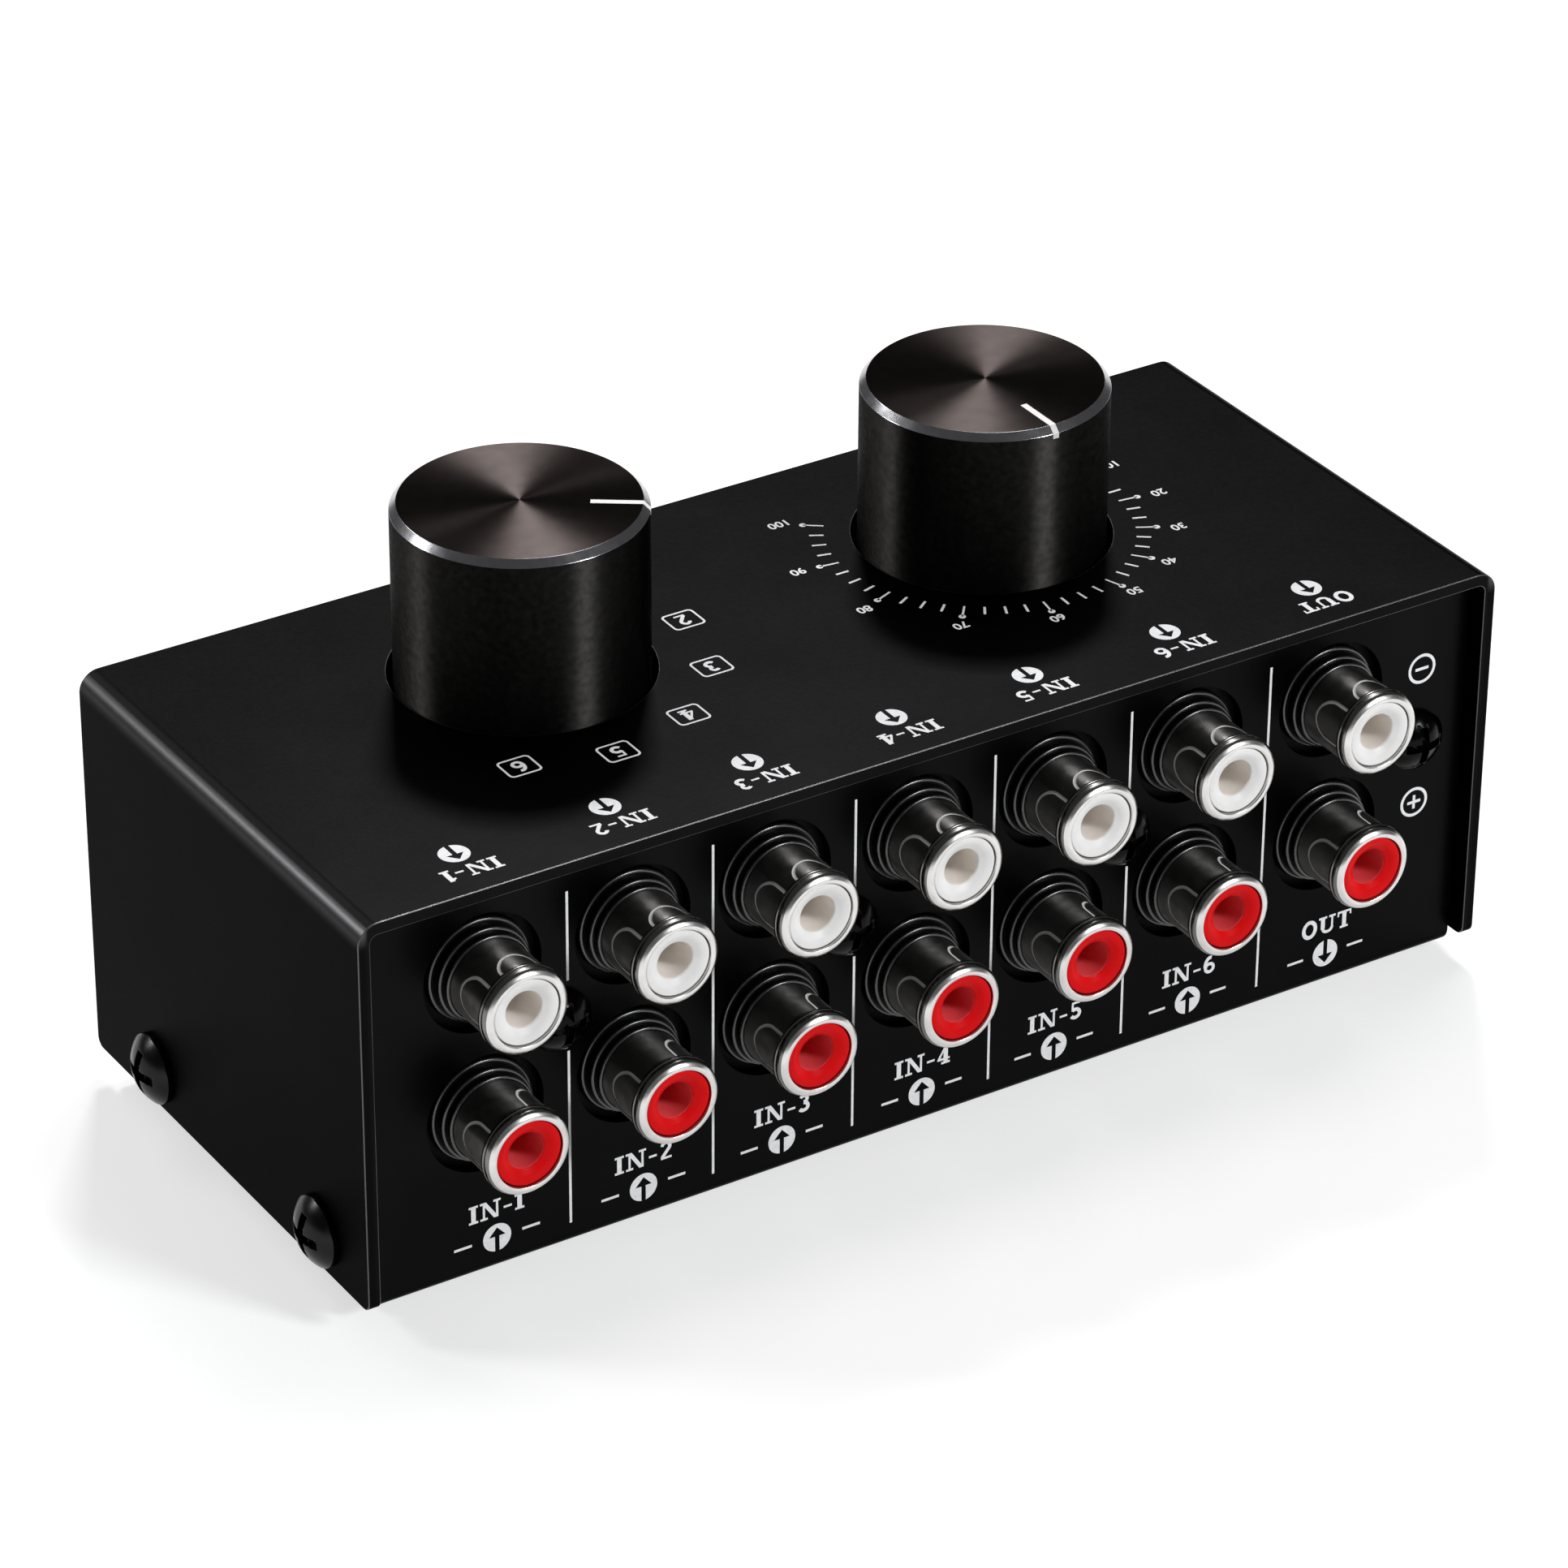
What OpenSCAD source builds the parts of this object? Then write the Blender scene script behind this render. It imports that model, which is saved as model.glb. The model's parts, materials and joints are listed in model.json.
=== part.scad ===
// Passive audio source selector: six stereo inputs, one stereo output.
// Folded sheet-metal box, phono jacks along the rear, two knobs through the top.
// Millimetres, +Z up, origin at the middle of the footprint on the resting plane.
// The rear (jack) side faces +Y and input 1 is at +X.

/* [Sheet metal] */
// Thickness of the cover and chassis sheet
sheet = 1.2; // [0.8:0.1:1.5]
// Outside radius of the cover's two long bends
cover_bend_r = 2.0; // [1.6:0.1:3]
// Radius of the rounded lower corners of the cover's sides
cover_corner_r = 1.0; // [0.8:0.1:3]
// How far the chassis floor hangs below the cover's lower edge
floor_drop = 1.6; // [0.2:0.1:2]
// How far the front and rear panels sit inside the cover's edges
panel_recess = 1.85; // [1.5:0.05:3.2]
// Outside radius of the chassis bends
chassis_bend_r = 1.6; // [1.6:0.1:2.4]
// Slack between chassis and cover
cover_slack = 0.3; // [0.2:0.05:0.6]
// Length of each chassis side flange
flange_l = 42; // [38:1:44]
// Rise of a side flange above the screw axis
flange_over = 4.5; // [3.5:0.5:8]

/* [Jacks] */
// Column spacing inside one four-way jack block
jack_pitch_x = 15.0; // [14:0.1:16]
// Row spacing, white above red
jack_pitch_z = 14.3; // [13.5:0.1:16]
// Height of the lower row above the circuit board
jack_foot = 8.95; // [8:0.05:11]
// Block material beside the outermost jack axes
block_side = 7.15; // [6.5:0.05:8]
// Block material above the upper jack axes
block_over = 6.65; // [6.3:0.05:8]
// Depth of a jack block behind the panel
block_d = 12; // [10:0.5:14]
// Gap between neighbouring input blocks
block_gap = 0.2; // [0.1:0.05:1]
// Gap between the last input block and the output block
output_gap = 1.5; // [0.5:0.1:3]
// Distance from the output jacks to their fixing screw
output_ear = 9.9; // [9:0.1:12]
// Space between the chassis flange and the first block
margin_in1 = 3.15; // [2:0.05:8]
// Space between the output block and its chassis flange
margin_out = 1.15; // [1:0.05:6]
// Radius of the panel hole around each jack
panel_hole_r = 5.85; // [5.6:0.05:6.2]
// Radius of the first collar step, which sits inside the panel hole
collar_r = 5.05; // [4.9:0.05:5.4]
// Place of the first step's face from the panel face, negative when sunk in the hole
collar_out = -0.5; // [-0.7:0.1:-0.2]
// Radius of the second collar step
collar2_r = 4.6; // [4.5:0.05:4.75]
// How far the second collar step stands out of the panel
collar2_out = 0.5; // [0.2:0.1:0.8]
// Radius of the third collar step
collar3_r = 4.25; // [4.2:0.05:4.35]
// How far the third collar step stands out of the panel
collar3_out = 1.3; // [1.1:0.1:1.6]
// Outside radius of the metal sleeve
sleeve_r = 3.9; // [3.7:0.05:4]
// Wall of the metal sleeve
sleeve_t = 0.3; // [0.2:0.05:0.4]
// Radius of the rolled rim at the sleeve's mouth
rim_r = 4.2; // [4.15:0.05:4.3]
// Length of the rolled rim along the jack axis
rim_l = 1.4; // [1.2:0.1:1.8]
// Distance from the panel face to the rim's front
jack_reach = 7.75; // [7:0.05:9]
// Radius of the coloured insert
insert_r = 3.2; // [3:0.05:3.4]
// Length of the coloured insert
insert_l = 5.0; // [4:0.1:5.4]
// How far the insert's face sits behind the rim's front
insert_inset = 0.25; // [0.1:0.05:0.4]
// Depth of the dished face of the insert
insert_dish = 0.55; // [0.3:0.05:0.8]
// Radius of the hole that takes the plug's centre pin
socket_r = 1.75; // [1.7:0.05:1.9]
// Width of each spring tongue cut in the sleeve
tongue_w = 4.0; // [3:0.1:4.4]
// Width of the slit round a tongue
slit_w = 0.3; // [0.2:0.05:0.4]
// Distance from the panel face to the tip of a long tongue
tongue_tip = 2.7; // [2.2:0.1:3.2]
// How much shorter the upper tongue of a white jack is
tongue_short = 1.3; // [0.5:0.1:1.6]

/* [Knobs] */
// Distance between the two knob axes
knob_pitch = 49.4; // [46:0.2:56]
// Offset of the knob pair towards the first input
knob_shift = 0.9; // [-3:0.1:3]
// Knob radius
knob_r = 11.6; // [10.5:0.1:12]
// Knob length from skirt to top
knob_h = 19; // [17:0.5:21]
// Cut on the knob's upper edge
knob_chamfer = 0.65; // [0.3:0.05:1]
// Radial gap between a knob and its hole in the cover
knob_gap = 0.6; // [0.4:0.1:1.2]
// How far the selector knob stands above the cover
selector_rise = 17.0; // [15:0.1:18]
// How far the volume knob stands above the cover
volume_rise = 15.9; // [15:0.1:18]
// Direction of the selector pointer as shown, in degrees from +X
selector_pointer_deg = 146; // [60:1:210]
// Direction of the volume pointer as shown, in degrees from +X
volume_pointer_deg = 90; // [-60:1:240]
// Length of the pointer line on the knob's top
pointer_l = 4.7; // [3:0.1:8]
// Width of the pointer line
pointer_w = 0.7; // [0.4:0.05:1.2]
// Depth of the pointer groove
pointer_d = 0.3; // [0.2:0.05:0.5]

/* [Controls] */
// Radius of the rotary switch
switch_r = 13; // [11:0.5:13.5]
// Radius of the potentiometer
pot_r = 12; // [10:0.5:13.5]
// Free space between the jack blocks and the switch
control_gap = 3.2; // [2:0.1:6]
// Free space between the switch and the front panel
front_gap = 3.9; // [2.9:0.1:8]
// Radius of both control shafts
shaft_r = 3.0; // [2.8:0.1:3.2]
// Radial running clearance of a shaft in its bushing
shaft_play = 0.05; // [0.02:0.01:0.08]

/* [Board and feet] */
// Circuit board thickness
pcb_t = 1.6; // [1:0.1:2]
// Height of the board above the chassis floor
standoff_h = 5.2; // [3.6:0.1:6]
// Radius of a rubber foot
foot_r = 4.5; // [3:0.5:6]
// Height of a rubber foot
foot_h = 1.4; // [1.2:0.1:3]
// Distance of the feet from the cover's edges
foot_inset = 10.5; // [8:0.5:12]

/* [Screws] */
// Radius of the domed heads of the jack block and board screws
screw_head_r = 3.0; // [2.6:0.1:3.2]
// Radius of the domed heads of the side screws
side_head_r = 3.4; // [3:0.1:3.6]
// Height of the domed screw heads
screw_head_h = 2.0; // [1.6:0.1:2.4]
// Radius of every screw's shank
screw_r = 1.4; // [1.2:0.05:1.5]
// Height of the side screws above the cover's lower edge
side_screw_z = 3.8; // [3.7:0.1:5]
// Distance between the two screws of one side
side_screw_pitch = 30.8; // [26:0.2:33]
// Offset of the side screws from the middle of the cover towards the jacks
side_screw_shift = 1.5; // [0:0.1:2]

/* [Hidden] */
$fn = 96;
eps = 0.01;          // overlap used only to make cuts clean
fit = 0.05;          // radial or axial slack of parts that seat in each other
hole_slack = 0.25;   // slack of a clearance hole round a screw
shank_l = 5;         // side screw length under the head
panel_screw_l = 8;   // jack block screw length under the head
board_screw_l = 5;   // board screw length under the head
edge_cut = 0.2;      // small chamfer on moulded and turned edges

// Heights, from the resting plane up
floor_z = foot_h;
floor_top = floor_z + sheet;
cover_z0 = floor_z + floor_drop;
pcb_z0 = floor_top + standoff_h;
pcb_z1 = pcb_z0 + pcb_t;
row_red = pcb_z1 + jack_foot;
row_white = row_red + jack_pitch_z;
row_mid = (row_red + row_white) / 2;
block_z1 = row_white + block_over;
roof_gap = 1.7;      // air between the jack blocks and the cover
roof_z = block_z1 + roof_gap;
cover_z1 = roof_z + sheet;
side_screw_abs = cover_z0 + side_screw_z;

// Widths, built up from the row of jack blocks
block_w = jack_pitch_x + 2 * block_side;
block_step = block_w + block_gap;
output_w = 2 * block_side + output_ear - block_side + screw_head_r + edge_cut;
row_w = 3 * block_w + 2 * block_gap + output_gap + output_w;
flange_in = margin_in1 + row_w + margin_out;
chassis_w = flange_in + 2 * sheet;
cover_w = chassis_w + 2 * cover_slack + 2 * sheet;
block_x1 = flange_in / 2 - margin_in1 - block_w / 2;
output_x = block_x1 - 2 * block_step - block_w / 2 - output_gap - block_side;
function block_x(i) = block_x1 - i * block_step;
function column_x(i) = block_x(floor(i / 2)) + (i % 2 == 0 ? 1 : -1) * jack_pitch_x / 2;
COLUMNS = [for (i = [0:5]) column_x(i), output_x];
BLOCK_SCREWS = [for (i = [0:2]) block_x(i), output_x - output_ear];

// Depths, from the front edge to the rims of the jacks
inner_d = block_d + control_gap + 2 * switch_r + front_gap;
chassis_d = inner_d + 2 * sheet;
cover_d = chassis_d + 2 * panel_recess;
overall_d = cover_d - panel_recess + jack_reach;
cover_y0 = -overall_d / 2;
cover_y1 = cover_y0 + cover_d;
cover_y = (cover_y0 + cover_y1) / 2;
panel_y = cover_y1 - panel_recess;
SIDE_SCREWS = [for (s = [-1, 1]) cover_y + side_screw_shift + s * side_screw_pitch / 2];
block_y1 = panel_y - sheet;
block_y0 = block_y1 - block_d;
control_y = block_y0 - control_gap - switch_r;
selector_x = knob_shift + knob_pitch / 2;
volume_x = knob_shift - knob_pitch / 2;

// Jack details measured along the axis from the panel face
rim_e0 = jack_reach - rim_l;
insert_e1 = jack_reach - insert_inset;
insert_e0 = insert_e1 - insert_l;
rim_lip = 0.3;       // front lip of the rim, ahead of its bead
rim_step = 0.4;      // front lip inside the bead
rim_c = 0.35;        // rounding cuts on the bead
socket_d = 3.0;      // depth of the block's seat for an insulator
block_wall = 2.4;    // wall beside a cored pocket
block_web = 4;       // web between an insulator's seat and the pocket behind it
contact_t = 0.4;     // wall of the centre contact
contact_e1 = 0.2;    // front end of the contact's seat
contact_grip = 0.4;  // how far the contact's bore is tighter than the hole in front of it
nose_r = sleeve_r - sleeve_t - fit;
tongue_r = tongue_w / 2;
tongue_e1 = rim_e0 - edge_cut / 2;
RED_TONGUES = [[10, tongue_tip], [130, tongue_tip], [250, tongue_tip]]; // turn from +X and tip
WHITE_TONGUES = [[15, tongue_tip], [95, tongue_tip + tongue_short], [250, tongue_tip]];

// Controls
base_t = 3;          // switch base disc
can_h = 8;           // switch housing above its base
bush_r = 4.5;        // switch bushing
bush_h = 9;          // switch bushing above its housing
wafer_t = 1.6;       // potentiometer wafers
pot_can_h = 8.4;     // spacer can between the wafers
pot_front_t = 3;     // potentiometer front casting
pot_bush_r = 4;      // potentiometer bushing
pot_bush_h = 8.4;    // potentiometer bushing above its casting
pivot_r = 1.5;       // lower pivot of each shaft
nut_t = 2.4;         // bushing nuts
nut_w = 2.6;         // nut corners outside the bushing
ring_t = 0.8;        // stop ring and circlips
hub_r = 8.5;         // plastic hub inside a knob
hub_h = 12;          // hub length
knob_roof = 4;       // knob metal above the hub
flat_in = 1.0;       // depth of the flat on a shaft
clip_in = 0.6;       // depth of the clip groove in a shaft
clip_out = 1.2;      // clip outside the shaft
pointer_drop = 0.5;  // pointer line below the knob's cut edge
pin_r = 0.45;        // solder pins
pin_out = 1.2;       // solder pins below the board
pin_dx = 1.3;        // jack pins either side of the jack axis
PIN_ROWS = [2.4, 7.4]; // jack pins from the back of the block
pin_in = 2;          // control pins in from the control's edge
board_hole = 0.12;   // slack of a pin in its board hole
can_wall = 1.7;      // wall of the switch housing
ball_r = 1.2;        // detent balls
rotor_t = 4;         // switch rotor
rotor_r = switch_r - can_wall - 1.6 * ball_r;
rotor_z = pcb_z1 + base_t + ball_r / 2;
switch_top = pcb_z1 + base_t + can_h;
switch_bush_z1 = switch_top + bush_h;
pot_top = pcb_z1 + 2 * wafer_t + pot_can_h + pot_front_t;
pot_bush_z1 = pot_top + pot_bush_h;
selector_top = cover_z1 + selector_rise;
volume_top = cover_z1 + volume_rise;

// Board
board_edge = 3.2;    // board edge to the chassis flange
board_back = 0.5;    // board edge to the rear panel
board_front = 2.7;   // board edge to the front panel
pcb_w = flange_in - 2 * board_edge;
pcb_y1 = block_y1 - board_back;
pcb_y0 = block_y1 - inner_d + board_front;
standoff_r = 2.75;
standoff_in = 4.5;   // standoff axis to the board's edge
standoff_x = pcb_w / 2 - standoff_in;
STANDOFFS = [for (x = [-standoff_x, knob_shift, standoff_x]) [x, pcb_y0 + standoff_in]];
SWITCH_PINS = [for (a = [0:30:330]) [a, switch_r - pin_in], for (a = [15, 195]) [a, bush_r]];
POT_PINS = [-120, -90, -60]; // directions of the potentiometer's tails
tail_out = 1.4;      // upper tails outside the potentiometer
pot_tail_r = pot_r + tail_out;

// Helpers

// Rectangle with rounded upper corners, standing on its lower edge
module arch2d(w, h, r) {
    translate([-w / 2, 0]) square([w, h - r]);
    translate([-w / 2 + r, 0]) square([w - 2 * r, h]);
    for (s = [-1, 1]) translate([s * (w / 2 - r), h - r]) circle(r);
}

// Rectangle with rounded lower corners, standing on its lower edge
module keel2d(w, h, r) {
    translate([0, h]) mirror([0, 1]) arch2d(w, h, r);
}

// Folded channel profile: a keel with its inside taken out
module channel2d(w, h, r, t) {
    difference() {
        keel2d(w, h, r);
        translate([0, t]) keel2d(w - 2 * t, h, r - t);
    }
}

// Stands a 2D shape (x, z) up and runs it along +Y from y0 to y1
module along_y(y0, y1) {
    translate([0, y1, 0]) rotate([90, 0, 0]) linear_extrude(y1 - y0) children();
}

// Stands a 2D shape (y, z) up and runs it along X about x = 0
module along_x(w) {
    rotate([90, 0, 90]) translate([0, 0, -w / 2]) linear_extrude(w) children();
}

// Turns a shape drawn along +Z so that it runs along +Y from the panel face
module on_panel(x, z) {
    translate([x, panel_y, z]) rotate([-90, 0, 0]) children();
}

// One jack shape at every column of the rows given
module at_jacks(rows) {
    for (x = COLUMNS) for (z = rows) on_panel(x, z) children();
}

module tube(r_out, r_in, h) {
    difference() {
        cylinder(r = r_out, h = h);
        translate([0, 0, -eps]) cylinder(r = r_in, h = h + 2 * eps);
    }
}

// Domed screw with a cross recess, head up along +Z, seat at z = 0
module dome_screw(l, r = screw_head_r) {
    recess = screw_head_h * 0.55;
    slot = r * 0.28;
    arm = r * 0.62;
    difference() {
        union() {
            rotate_extrude() dome2d(r, screw_head_h);
            translate([0, 0, -l]) cylinder(r = screw_r, h = l + eps);
        }
        for (a = [0, 90]) rotate(a)
            translate([-arm, -slot / 2, screw_head_h - recess]) cube([2 * arm, slot, recess + eps]);
    }
}

// Half profile of a dome: a short straight rim under a circular crown
module dome2d(r, h) {
    rim = h * 0.25;
    crown = h - rim;
    ball = (r * r + crown * crown) / (2 * crown);
    square([r, rim]);
    intersection() {
        translate([0, rim]) square([r, crown]);
        translate([0, h - ball]) circle(ball);
    }
}

// Round bar with a flat on its +Y side above the given height
module flatted_shaft(z0, z1, flat_z) {
    difference() {
        translate([0, 0, z0]) cylinder(r = shaft_r, h = z1 - z0);
        translate([-shaft_r, shaft_r - flat_in, flat_z]) cube([2 * shaft_r, shaft_r, z1 - flat_z + eps]);
    }
}

// Enclosure

module top_cover() {
    color("#1c1c1e") difference() {
        intersection() {
            translate([0, 0, cover_z0]) along_y(cover_y0, cover_y1) difference() {
                arch2d(cover_w, cover_z1 - cover_z0, cover_bend_r);
                translate([0, -eps])
                    arch2d(cover_w - 2 * sheet, roof_z - cover_z0 + eps, cover_bend_r - sheet);
            }
            translate([0, cover_y, cover_z0]) along_x(cover_w)
                keel2d(cover_d, cover_z1 - cover_z0, cover_corner_r);
        }
        for (x = [selector_x, volume_x])
            translate([x, control_y, roof_z - sheet]) cylinder(r = knob_r + knob_gap, h = 3 * sheet);
        side_screw_holes(screw_r + hole_slack);
    }
}

module side_screw_holes(r) {
    for (y = SIDE_SCREWS) translate([-cover_w, y, side_screw_abs])
        rotate([0, 90, 0]) cylinder(r = r, h = 2 * cover_w);
}

module base_chassis() {
    panel_top = roof_z - cover_slack;
    flange_top = side_screw_abs + flange_over;
    notch_y = (flange_l + chassis_bend_r) / 2;
    color("#18181a") difference() {
        union() {
            translate([0, cover_y, floor_z]) along_x(chassis_w)
                channel2d(chassis_d, panel_top - floor_z, chassis_bend_r, sheet);
            translate([0, 0, floor_z]) along_y(cover_y - flange_l / 2, cover_y + flange_l / 2)
                channel2d(chassis_w, flange_top - floor_z, chassis_bend_r, sheet);
        }
        // relief notches at the ends of the flange bends
        for (sx = [-1, 1]) for (sy = [-1, 1])
            translate([sx * chassis_w / 2, cover_y + sy * notch_y, floor_z - eps])
                cylinder(r = chassis_bend_r / 2, h = chassis_bend_r + sheet);
        at_jacks([row_red, row_white])
            translate([0, 0, -2 * sheet]) cylinder(r = panel_hole_r, h = 3 * sheet);
        for (x = BLOCK_SCREWS) on_panel(x, row_mid)
            translate([0, 0, -2 * sheet]) cylinder(r = screw_r + hole_slack, h = 3 * sheet);
        side_screw_holes(screw_r + fit);
    }
}

module rubber_feet() {
    color("#101010") for (sx = [-1, 1]) for (sy = [-1, 1])
        translate([sx * (cover_w / 2 - foot_inset), cover_y + sy * (cover_d / 2 - foot_inset), 0])
            rotate_extrude() polygon([
                [0, 0], [foot_r - 2 * edge_cut, 0], [foot_r - edge_cut, edge_cut],
                [foot_r, foot_h], [0, foot_h]
            ]);
}

module cover_screws() {
    color("#141414") for (sx = [-1, 1]) for (y = SIDE_SCREWS)
        translate([sx * cover_w / 2, y, side_screw_abs])
            rotate([0, sx * 90, 0]) dome_screw(shank_l, side_head_r);
}

// Board

module board_holes() {
    r = pin_r + board_hole;
    h = pcb_t + 2 * eps;
    for (p = STANDOFFS) translate([p[0], p[1], pcb_z0 - eps]) cylinder(r = screw_r + hole_slack, h = h);
    for (p = SWITCH_PINS) translate([selector_x, control_y, pcb_z0 - eps])
        rotate(p[0]) translate([p[1], 0, 0]) cylinder(r = r, h = h);
    for (a = POT_PINS) translate([volume_x, control_y, pcb_z0 - eps]) rotate(a) {
        translate([pot_r - pin_in, 0, 0]) cylinder(r = r, h = h);
        translate([pot_tail_r, 0, 0]) cylinder(r = r, h = h);
    }
    jack_pin_places() translate([0, 0, pcb_z0 - eps]) cylinder(r = r, h = h);
}

module main_board() {
    color("#1f5a34") difference() {
        translate([-pcb_w / 2, pcb_y0, pcb_z0]) cube([pcb_w, pcb_y1 - pcb_y0, pcb_t]);
        board_holes();
    }
}

module board_standoffs() {
    color("#b9a15a") for (p = STANDOFFS) translate([p[0], p[1], floor_top])
        tube(standoff_r, screw_r + fit, standoff_h);
}

module board_screws() {
    color("#a9acb0") for (p = STANDOFFS) translate([p[0], p[1], pcb_z1]) dome_screw(board_screw_l);
}

// Jacks

// Moulded block: seats for the insulators in front, cored pockets behind
module jack_block(xs, x0, x1, screw_x) {
    pocket = block_side - block_wall;
    pocket_d = block_d - socket_d - block_web;
    difference() {
        translate([x0, block_y0, pcb_z1]) cube([x1 - x0, block_d, block_z1 - pcb_z1]);
        for (x = xs) for (z = [row_red, row_white]) {
            on_panel(x, z) translate([0, 0, -sheet - socket_d])
                cylinder(r = collar_r + fit, h = socket_d + eps);
            translate([x - pocket, block_y0 - eps, z - pocket]) cube([2 * pocket, pocket_d, 2 * pocket]);
        }
        on_panel(screw_x, row_mid) translate([0, 0, -panel_screw_l - edge_cut])
            cylinder(r = screw_r + fit, h = panel_screw_l);
    }
}

module input_block(i) {
    x = block_x(i);
    half = block_w / 2;
    color("#161616") jack_block([column_x(2 * i), column_x(2 * i + 1)], x - half, x + half, x);
}

module input_block_1() { input_block(0); }
module input_block_2() { input_block(1); }
module input_block_3() { input_block(2); }

module output_block() {
    x1 = output_x + block_side;
    color("#161616") jack_block([output_x], x1 - output_w, x1, output_x - output_ear);
}

module block_screws() {
    color("#121212") for (x = BLOCK_SCREWS) on_panel(x, row_mid) dome_screw(panel_screw_l - sheet);
}

// Three-step collar that rises through the panel hole, with a nose inside the sleeve
module jack_insulators() {
    back = -sheet - socket_d;
    groove_r = sleeve_r + fit;
    c = edge_cut;
    contact_r = socket_r + contact_t;
    color("#181818") at_jacks([row_red, row_white]) rotate_extrude() polygon([
        [contact_r, back], [collar_r, back], [collar_r, collar_out - c], [collar_r - c, collar_out],
        [collar2_r, collar_out], [collar2_r, collar2_out - c], [collar2_r - c, collar2_out],
        [collar3_r, collar2_out], [collar3_r, collar3_out - c], [collar3_r - c, collar3_out],
        [groove_r, collar3_out], [groove_r, 0], [nose_r, 0], [nose_r, insert_e0 - fit],
        [socket_r, insert_e0 - fit], [socket_r, contact_e1], [contact_r, contact_e1]
    ]);
}

// Sleeve with spring tongues slit into it and a rolled rim: a bead and a front lip
module jack_sleeve(tongues) {
    r_in = sleeve_r - sleeve_t;
    mouth_r = insert_r + fit;
    lip_r = rim_r - rim_step;
    bead_e1 = jack_reach - rim_lip;
    c = rim_c;
    h = edge_cut / 2;
    difference() {
        rotate_extrude() polygon([
            [r_in, fit], [sleeve_r, fit], [sleeve_r, rim_e0], [rim_r - h, rim_e0 + h], [rim_r, rim_e0 + c],
            [rim_r, bead_e1 - c], [rim_r - h, bead_e1 - h], [lip_r, bead_e1], [lip_r, jack_reach - h],
            [lip_r - h, jack_reach], [mouth_r + h, jack_reach], [mouth_r, jack_reach - h],
            [mouth_r, rim_e0], [r_in, rim_e0]
        ]);
        for (t = tongues) rotate(-t[0]) tongue_slit(t[1]);
    }
}

// Outline of a tongue: round tip towards the panel, open towards the rim
module tongue2d(r, tip) {
    translate([0, tip + r]) circle(r);
    translate([-r, tip + r]) square([2 * r, jack_reach]);
}

// Slit round a tongue, cut outwards from the axis; the tongue hangs on the rim
module tongue_slit(tip) {
    rotate([90, 0, 90]) linear_extrude(rim_r) intersection() {
        difference() {
            tongue2d(tongue_r, tip);
            tongue2d(tongue_r - slit_w, tip + slit_w);
        }
        translate([-tongue_r, 0]) square([tongue_w, tongue_e1]);
    }
}

module jack_sleeves() {
    color("#6d7074") {
        at_jacks([row_red]) jack_sleeve(RED_TONGUES);
        at_jacks([row_white]) jack_sleeve(WHITE_TONGUES);
    }
}

// Coloured core of the socket: a shoulder behind the rim, a dished face and the centre-pin hole
module jack_inserts(row) {
    lip = 0.4;
    at_jacks([row]) rotate_extrude() polygon([
        [socket_r, insert_e0], [nose_r, insert_e0], [nose_r, rim_e0 - fit], [insert_r, rim_e0 - fit],
        [insert_r, insert_e1], [insert_r - lip, insert_e1],
        [socket_r, insert_e1 - insert_dish]
    ]);
}

module white_inserts() { color("#eeeeec") jack_inserts(row_white); }
module red_inserts() { color("#c8201c") jack_inserts(row_red); }

module jack_contacts() {
    color("#c9b46a") at_jacks([row_red, row_white]) translate([0, 0, -sheet - socket_d])
        tube(socket_r + contact_t - fit, socket_r - contact_grip, socket_d + sheet + contact_e1 - fit);
}

// Solder pins under the blocks: one per jack and one ground pin beside each
module jack_pin_places() {
    for (x = COLUMNS) for (dx = [-pin_dx, pin_dx]) for (dy = PIN_ROWS)
        translate([x + dx, block_y0 + dy, 0]) children();
}

module jack_pins() {
    color("#b8b8b4") jack_pin_places() translate([0, 0, pcb_z0 - pin_out])
        cylinder(r = pin_r, h = pcb_t + pin_out);
}

// Rotary switch under the selector knob

module at_selector() {
    translate([selector_x, control_y, 0]) children();
}

module switch_base() {
    color("#3a2c1c") at_selector() translate([0, 0, pcb_z1]) tube(switch_r, pivot_r + shaft_play, base_t);
}

module switch_pins() {
    color("#b8b8b4") at_selector() for (p = SWITCH_PINS) rotate(p[0])
        translate([p[1], 0, pcb_z0 - pin_out]) cylinder(r = pin_r, h = pcb_t + pin_out);
}

// Die-cast cup with a notch for every thirty degrees and the threaded bushing on top
module switch_housing() {
    roof = 2;
    z0 = pcb_z1 + base_t;
    color("#9a9c9e") at_selector() difference() {
        union() {
            translate([0, 0, z0]) cylinder(r = switch_r, h = can_h);
            translate([0, 0, switch_top - eps]) cylinder(r = bush_r, h = bush_h + eps);
        }
        translate([0, 0, z0 - eps]) cylinder(r = switch_r - can_wall, h = can_h - roof + eps);
        for (a = [0:30:330]) rotate(a + selector_pointer_deg)
            translate([switch_r - can_wall, 0, z0 - eps]) cylinder(r = ball_r, h = can_h - roof + eps);
        translate([0, 0, z0]) cylinder(r = shaft_r + shaft_play, h = can_h + bush_h + eps);
    }
}

// Tab washer that limits the travel to six positions
module switch_stop_ring() {
    ring_r = bush_r + nut_w + edge_cut;
    tab = 2;
    color("#c4c6c8") at_selector() translate([0, 0, switch_top]) difference() {
        union() {
            cylinder(r = ring_r, h = ring_t);
            rotate(-90) translate([ring_r - tab / 2, -tab / 2, 0]) cube([tab, tab, ring_t]);
        }
        translate([0, 0, -eps]) cylinder(r = bush_r + fit, h = ring_t + 2 * eps);
    }
}

module hex_nut(r_in) {
    difference() {
        cylinder(r = r_in + nut_w, h = nut_t, $fn = 6);
        translate([0, 0, -eps]) cylinder(r = r_in + fit, h = nut_t + 2 * eps);
    }
}

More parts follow.
